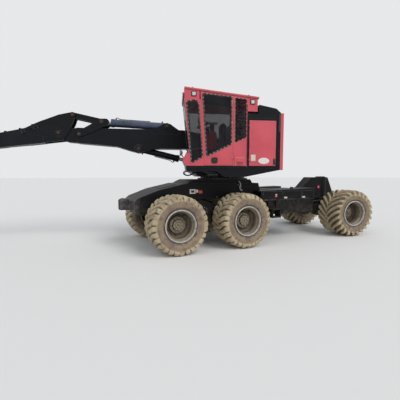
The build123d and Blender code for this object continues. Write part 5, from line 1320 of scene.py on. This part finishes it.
def engine_details():
    """What shows on the engine block when its door is open: ribs, filters, a belt cover and pipes."""
    bag = Bag()
    face = flat_face(1, ENGINE_FACE_Y, 1)
    bag.plates(face, *[(u, u + 0.06, 2.02, 2.55, 0.008, -0.002, 0.020, CAST, 0.005)
                       for u in (-0.97 + k * 0.10 for k in range(6))])
    for u in (-0.92, -0.74):
        bag.lathe((u, 0.90, 2.10), UP, [(0, 0.035), (0.02, 0.055), (0.20, 0.055), (0.22, 0.045),
                                        (0.25, 0.03)], WHITE_PLATE, 28)
        bag.block((u - 0.05, 0.795, 2.34), (u + 0.05, 0.95, 2.39), CAST, 0.008)
    bag.lathe(face(-0.52, 2.30), LEFT, [(0, 0.13), (0.035, 0.13), (0.045, 0.115), (0.045, 0.04),
                                        (0.06, 0.035)], CAST, 36)
    bag.tube([(-0.98, 0.86, 2.70), (-0.80, 0.92, 2.72), (-0.60, 0.90, 2.70), (-0.47, 0.86, 2.55),
              (-0.45, 0.82, 2.42)], 0.030, RUBBER, 14, 8)
    for z in (2.62, 2.68, 2.74):
        bag.tube([face(u, z, 0.008) for u in (-0.99, -0.42)], 0.008, STEEL, 8, 1)
    bag.make("engine_details", "upper")


def head_fittings():
    """Bolts, wear strips, motor ring and hoses of the felling head, about the wrist."""
    bag = Bag()
    rows = (-0.30, -0.12, 0.06, 0.24, 0.40, 0.84)
    bag.bolts(flat_face(0, 0.118, -1), [(y, z) for y in (-0.26, 0.26) for z in rows], 0.014)
    ledges = (-0.406, -0.006, 0.454, 0.844)
    for sign in BOTH:
        side = side_face(HEAD_HALF_W, sign)
        bag.seams(side, 0.006, [(0.122, -0.92), (0.122, 0.89)], *[[(0.16, z), (0.25, z)] for z in ledges[:3]])
        bag.seams(side, 0.005, [(0.497, -0.90), (0.430, -0.70), (0.400, -0.30), (0.330, 0.20),
                                (0.252, 0.885)])
    for z in ledges:
        bag.plate(flat_face(0, 0.260, 1), box_at(0, z, 0.24, 0.012, 0.004), -0.001, 0.010, STEEL)
    motor_u = SAW_U - 0.02
    bag.bolts(flat_face(2, SAW_DECK_Z, 1), circle(motor_u, 0, 0.260, 16), 0.014)
    bag.lathe((motor_u, 0, SAW_DECK_Z), UP, [(-0.002, 0.205), (0.030, 0.200), (0.042, 0.185),
                                             (0.042, 0.11), (0.10, 0.105), (0.12, 0.09)], CAST, 40)
    for y in (-0.05, 0.05):
        bag.tube([(u, y, z) for u, z in ((SAW_U - 0.12, -0.66), (SAW_U - 0.16, -0.58), (0.36, -0.52),
                                         (0.27, -0.53), (0.17, -0.56))], 0.018, HOSE, 10)
    guard = [p for p in circle(SAW_U, 0, 0.61, 24, 0.1) if p[0] < SAW_U + 0.28]
    bag.bolts(flat_face(2, SAW_GUARD_Z, 1), guard, 0.012)
    for y, z in ((0.362, -0.219), (-0.362, -0.199), (-0.362, 0.401)):
        bag.lathe((0.258, y, z), UP, [(0, 0.040), (0.012, 0.040), (0.016, 0.033)], PIN, 24)
    bag.make("head_fittings", "head")


def saw_fittings():
    """Bolted tooth tips and the hub bolts of the saw disc."""
    bag = Bag()
    for i in range(18):
        turn = Matrix.Translation((SAW_U, 0, 0)) @ Matrix.Rotation(2 * math.pi * i / 18, 4, "Z")
        bag.bolt(turn @ Vector((SAW_R - 0.032, 0, -0.976)), UP, 0.011)
        tip = [turn @ Vector(p) for p in ((SAW_R - 0.012, -0.018, -1.010), (SAW_R - 0.012, 0.018, -1.010),
                                          (SAW_R + 0.004, 0.010, -1.006), (SAW_R + 0.004, -0.010, -1.006))]
        bag.rings([tip, [v + Vector((0, 0, 0.024)) for v in tip]], CHROME)
    for x, y in circle(SAW_U, 0, 0.30, 10):
        bag.hoop((x, y, -0.9815), UP, [(0, 0.020), (0.002, 0.020), (0.002, 0.030), (0, 0.030)], STEEL, 20)
    bag.make("saw_fittings", "saw")


for body, pins in PINS.items():
    pin_ends(body, pins)
for fit in (door_fittings, cab_lining, cab_side_fittings, cab_front_fittings, roof_fittings,
            lid_fittings, hood_fittings, counterweight_fittings, tank_fittings, boom_fittings,
            stick_fittings, cylinder_fittings, hull_fittings, bogie_fittings, rear_frame_fittings,
            steer_fittings, deck_fittings, engine_details, head_fittings, saw_fittings):
    fit()


# Seat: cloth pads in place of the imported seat, and the operator's controls round them
def pad_mesh(name, low, high, round_by):
    """A rounded closed block, remeshed finely enough to swell."""
    bag = Bag()
    (x0, y0, z0), (x1, y1, z1) = low, high
    turns = [math.pi / 2 * (1 - k / 4) for k in range(5)]
    rows = [(round_by * (1 - math.cos(t)), z0 + round_by * (1 - math.sin(t))) for t in turns]
    rows += [(g, z0 + z1 - z) for g, z in reversed(rows)]
    bag.rings([[Vector((x, y, z)) for x, y in box(x0 + g, x1 - g, y0 + g, y1 - g, round_by + 0.02, 5)]
               for g, z in rows], CLOTH)
    obj = bag.make(name, "upper", smooth=True)
    remesh = obj.modifiers.new("remesh", "REMESH")
    remesh.mode = "VOXEL"
    remesh.voxel_size = 0.011
    bake(obj)
    obj.data.materials.append(CLOTH_DARK)
    return obj


def bake(obj):
    """Applies an object's modifiers to its mesh."""
    shape = bpy.data.meshes.new_from_object(obj.evaluated_get(bpy.context.evaluated_depsgraph_get()))
    obj.modifiers.clear()
    obj.data = shape


def swell(obj, pressure, cap, frames=20):
    """Puffs a closed mesh up as a stuffed pad; no point moves further than cap."""
    start = [v.co.copy() for v in obj.data.vertices]
    cloth = obj.modifiers.new("cloth", "CLOTH")
    cloth.settings.use_pressure = True
    cloth.settings.uniform_pressure_force = pressure
    cloth.settings.effector_weights.gravity = 0
    cloth.point_cache.frame_end = frames
    for f in range(1, frames + 1):
        bpy.context.scene.frame_set(f)
    posed = obj.evaluated_get(bpy.context.evaluated_depsgraph_get()).data
    moved = [v.co.copy() for v in posed.vertices]
    obj.modifiers.clear()
    bpy.context.scene.frame_set(1)
    for v, a, b in zip(obj.data.vertices, start, moved):
        step = b - a
        v.co = a + (step * (cap / step.length) if step.length > cap else step)


def sew(obj, lines, depth, reach=0.016):
    """Presses sewn channels into a pad: lines are (axis, value) in the upper works' frame."""
    back = TO_UPPER.inverted()
    middle = sum((back @ v.co for v in obj.data.vertices), Vector()) / len(obj.data.vertices)
    for v in obj.data.vertices:
        p = back @ v.co
        for axis, value in lines:
            near = abs(p[axis] - value) / reach
            if near < 1:
                p += (middle - p) * depth * (1 - near) ** 2
        v.co = TO_UPPER @ p
    obj.data.update()


def finish_pad(obj):
    """Dark bolsters outside the sewn lines, smooth shading and one subdivision."""
    back = TO_UPPER.inverted()
    for face in obj.data.polygons:
        aside = abs((back @ face.center).y - SEAT_Y)
        face.material_index = 1 if aside > BOLSTER_HALF_Y else 0
        face.use_smooth = True
    obj.modifiers.new("smooth", "SUBSURF").levels = 1
    bake(obj)
    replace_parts(obj, "seat")


SEAT_Y = 0.72
BOLSTER_HALF_Y = 0.13
# name, low and high corner, rounding, sewn lines as (axis, value), how deep they are sewn
PADS = [
    ("seat_cushion", (0.20, 0.495, 2.338), (0.685, 0.945, 2.440), 0.038,
     ((1, 0.60), (1, 0.84), (0, 0.36), (0, 0.52)), 0.10),
    ("seat_backrest", (0.132, 0.505, 2.44), (0.222, 0.935, 3.035), 0.034,
     ((1, 0.60), (1, 0.84), (2, 2.62), (2, 2.80)), 0.08),
]
for name, low, high, round_by, lines, depth in PADS:
    pad = pad_mesh(name, low, high, round_by)
    swell(pad, 4.0, 0.010)
    sew(pad, lines, depth)
    finish_pad(pad)


def seat_frame():
    """Pan, suspension bellows, backrest shell, armrests with control pods, pedals, mat and monitor."""
    bag = Bag()
    for z in (2.06 + k * 0.05 for k in range(5)):
        bag.rings([[Vector((x, y, z + dz)) for x, y in box(0.28 + g, 0.58 - g, 0.58 + g, 0.86 - g, 0.04)]
                   for g, dz in ((0.02, 0.0), (0.0, 0.025), (0.02, 0.05))], RUBBER)
    blocks = [((0.18, 0.485, 2.318), (0.70, 0.955, 2.338), RUBBER, 0.006),
              ((0.26, 0.56, 1.985), (0.60, 0.88, 2.060), BLACK_CLEAN, 0.008),
              ((0.112, 0.52, 2.40), (0.134, 0.92, 2.98), RUBBER, 0.010),
              ((0.78, 0.30, 1.983), (1.02, 1.20, 1.995), MAT, 0.004),
              ((0.88, 0.26, 2.56), (0.93, 0.44, 2.70), RUBBER, 0.010)]
    bag.tube([(0.14, SEAT_Y, 2.36), (0.12, SEAT_Y, 2.42), (0.12, SEAT_Y, 2.60)], 0.03, RUBBER, 12, 4)
    bag.tube([(0.90, 0.35, 2.56), (0.92, 0.34, 2.36), (0.94, 0.34, 2.20)], 0.014, RUBBER, 10, 4)
    for y in (1.03, 0.41):
        # an armrest: (x and z at its low and high corner, half width), material, edge
        for x0, z0, x1, z1, half, mat, soft in (
                (0.39, 2.36, 0.59, 2.80, 0.045, CLOTH, 0.02),
                (0.24, 2.32, 0.44, 2.38, 0.03, RUBBER, 0.01),
                (0.44, 2.79, 0.54, 2.975, 0.03, RUBBER, 0.012),
                (0.35, 2.97, 0.65, 3.02, 0.05, ARM_PAD, 0.016),
                (0.60, 2.955, 0.76, 3.035, 0.055, RUBBER, 0.018)):
            blocks.append(((x0, y - half, z0), (x1, y + half, z1), mat, soft))
        bag.tube([(0.70, y, 3.03), (0.705, y, 3.08), (0.715, y, 3.13)], 0.017, RUBBER, 12, 4)
        bag.lathe((0.715, y, 3.125), (0.1, 0, 1), [(0, 0.020), (0.02, 0.027), (0.05, 0.026), (0.065, 0.016)],
                  RUBBER, 16)
    for y in (0.62, 0.82):
        blocks.append(((0.90, y - 0.045, 2.04), (0.99, y + 0.045, 2.06), STEEL, 0.006))
        bag.tube([(0.95, y, 2.045), (1.00, y, 2.02), (1.02, y, 1.99)], 0.012, STEEL, 8, 4)
    for block in blocks:
        bag.block(*block)
    bag.make("seat_frame", "upper")


seat_frame()

# Floor, world and lights
FLOOR_HALF = 180
floor = bpy.data.meshes.new("floor")
floor.from_pydata([(x, y, 0) for x, y in box_at(0, 0, FLOOR_HALF, FLOOR_HALF)], [], [(0, 1, 2, 3)])
floor_obj = bpy.data.objects.new("floor", floor)
bpy.context.scene.collection.objects.link(floor_obj)
floor.materials.append(Surface("floor_pale", (226, 225, 222), 0.9, gloss=0.1).done())

SKY = (0.86, 0.9, 0.96, 1)
BACKDROP = (0.80, 0.81, 0.82, 1)
world = bpy.data.worlds.new("sky")
bpy.context.scene.world = world
world.use_nodes = True
tree = world.node_tree
rays = add_node(tree, "ShaderNodeLightPath").outputs
seen = rays["Is Camera Ray"]
for ray in ("Is Glossy Ray", "Is Transmission Ray"):
    seen = add_node(tree, "ShaderNodeMath", {0: seen, 1: rays[ray]}, operation="MAXIMUM").outputs[0]
lit = tree.nodes["Background"]
lit.inputs["Color"].default_value = SKY
lit.inputs["Strength"].default_value = 0.62
shown = add_node(tree, "ShaderNodeBackground", {"Color": BACKDROP, "Strength": 1.0})
choose = add_node(tree, "ShaderNodeMixShader", {0: seen, 1: lit.outputs[0], 2: shown.outputs[0]})
tree.links.new(choose.outputs[0], tree.nodes["World Output"].inputs["Surface"])


def sun(name, angle, strength, turn, tilt):
    data = bpy.data.lights.new(name, "SUN")
    data.energy = strength
    data.angle = math.radians(angle)
    obj = bpy.data.objects.new(name, data)
    bpy.context.scene.collection.objects.link(obj)
    obj.rotation_euler = (math.radians(tilt), 0, math.radians(turn))


sun("key", 35, 1.6, 200, 48)
sun("fill", 60, 0.5, 120, 60)
bpy.context.scene.view_settings.view_transform = "Standard"
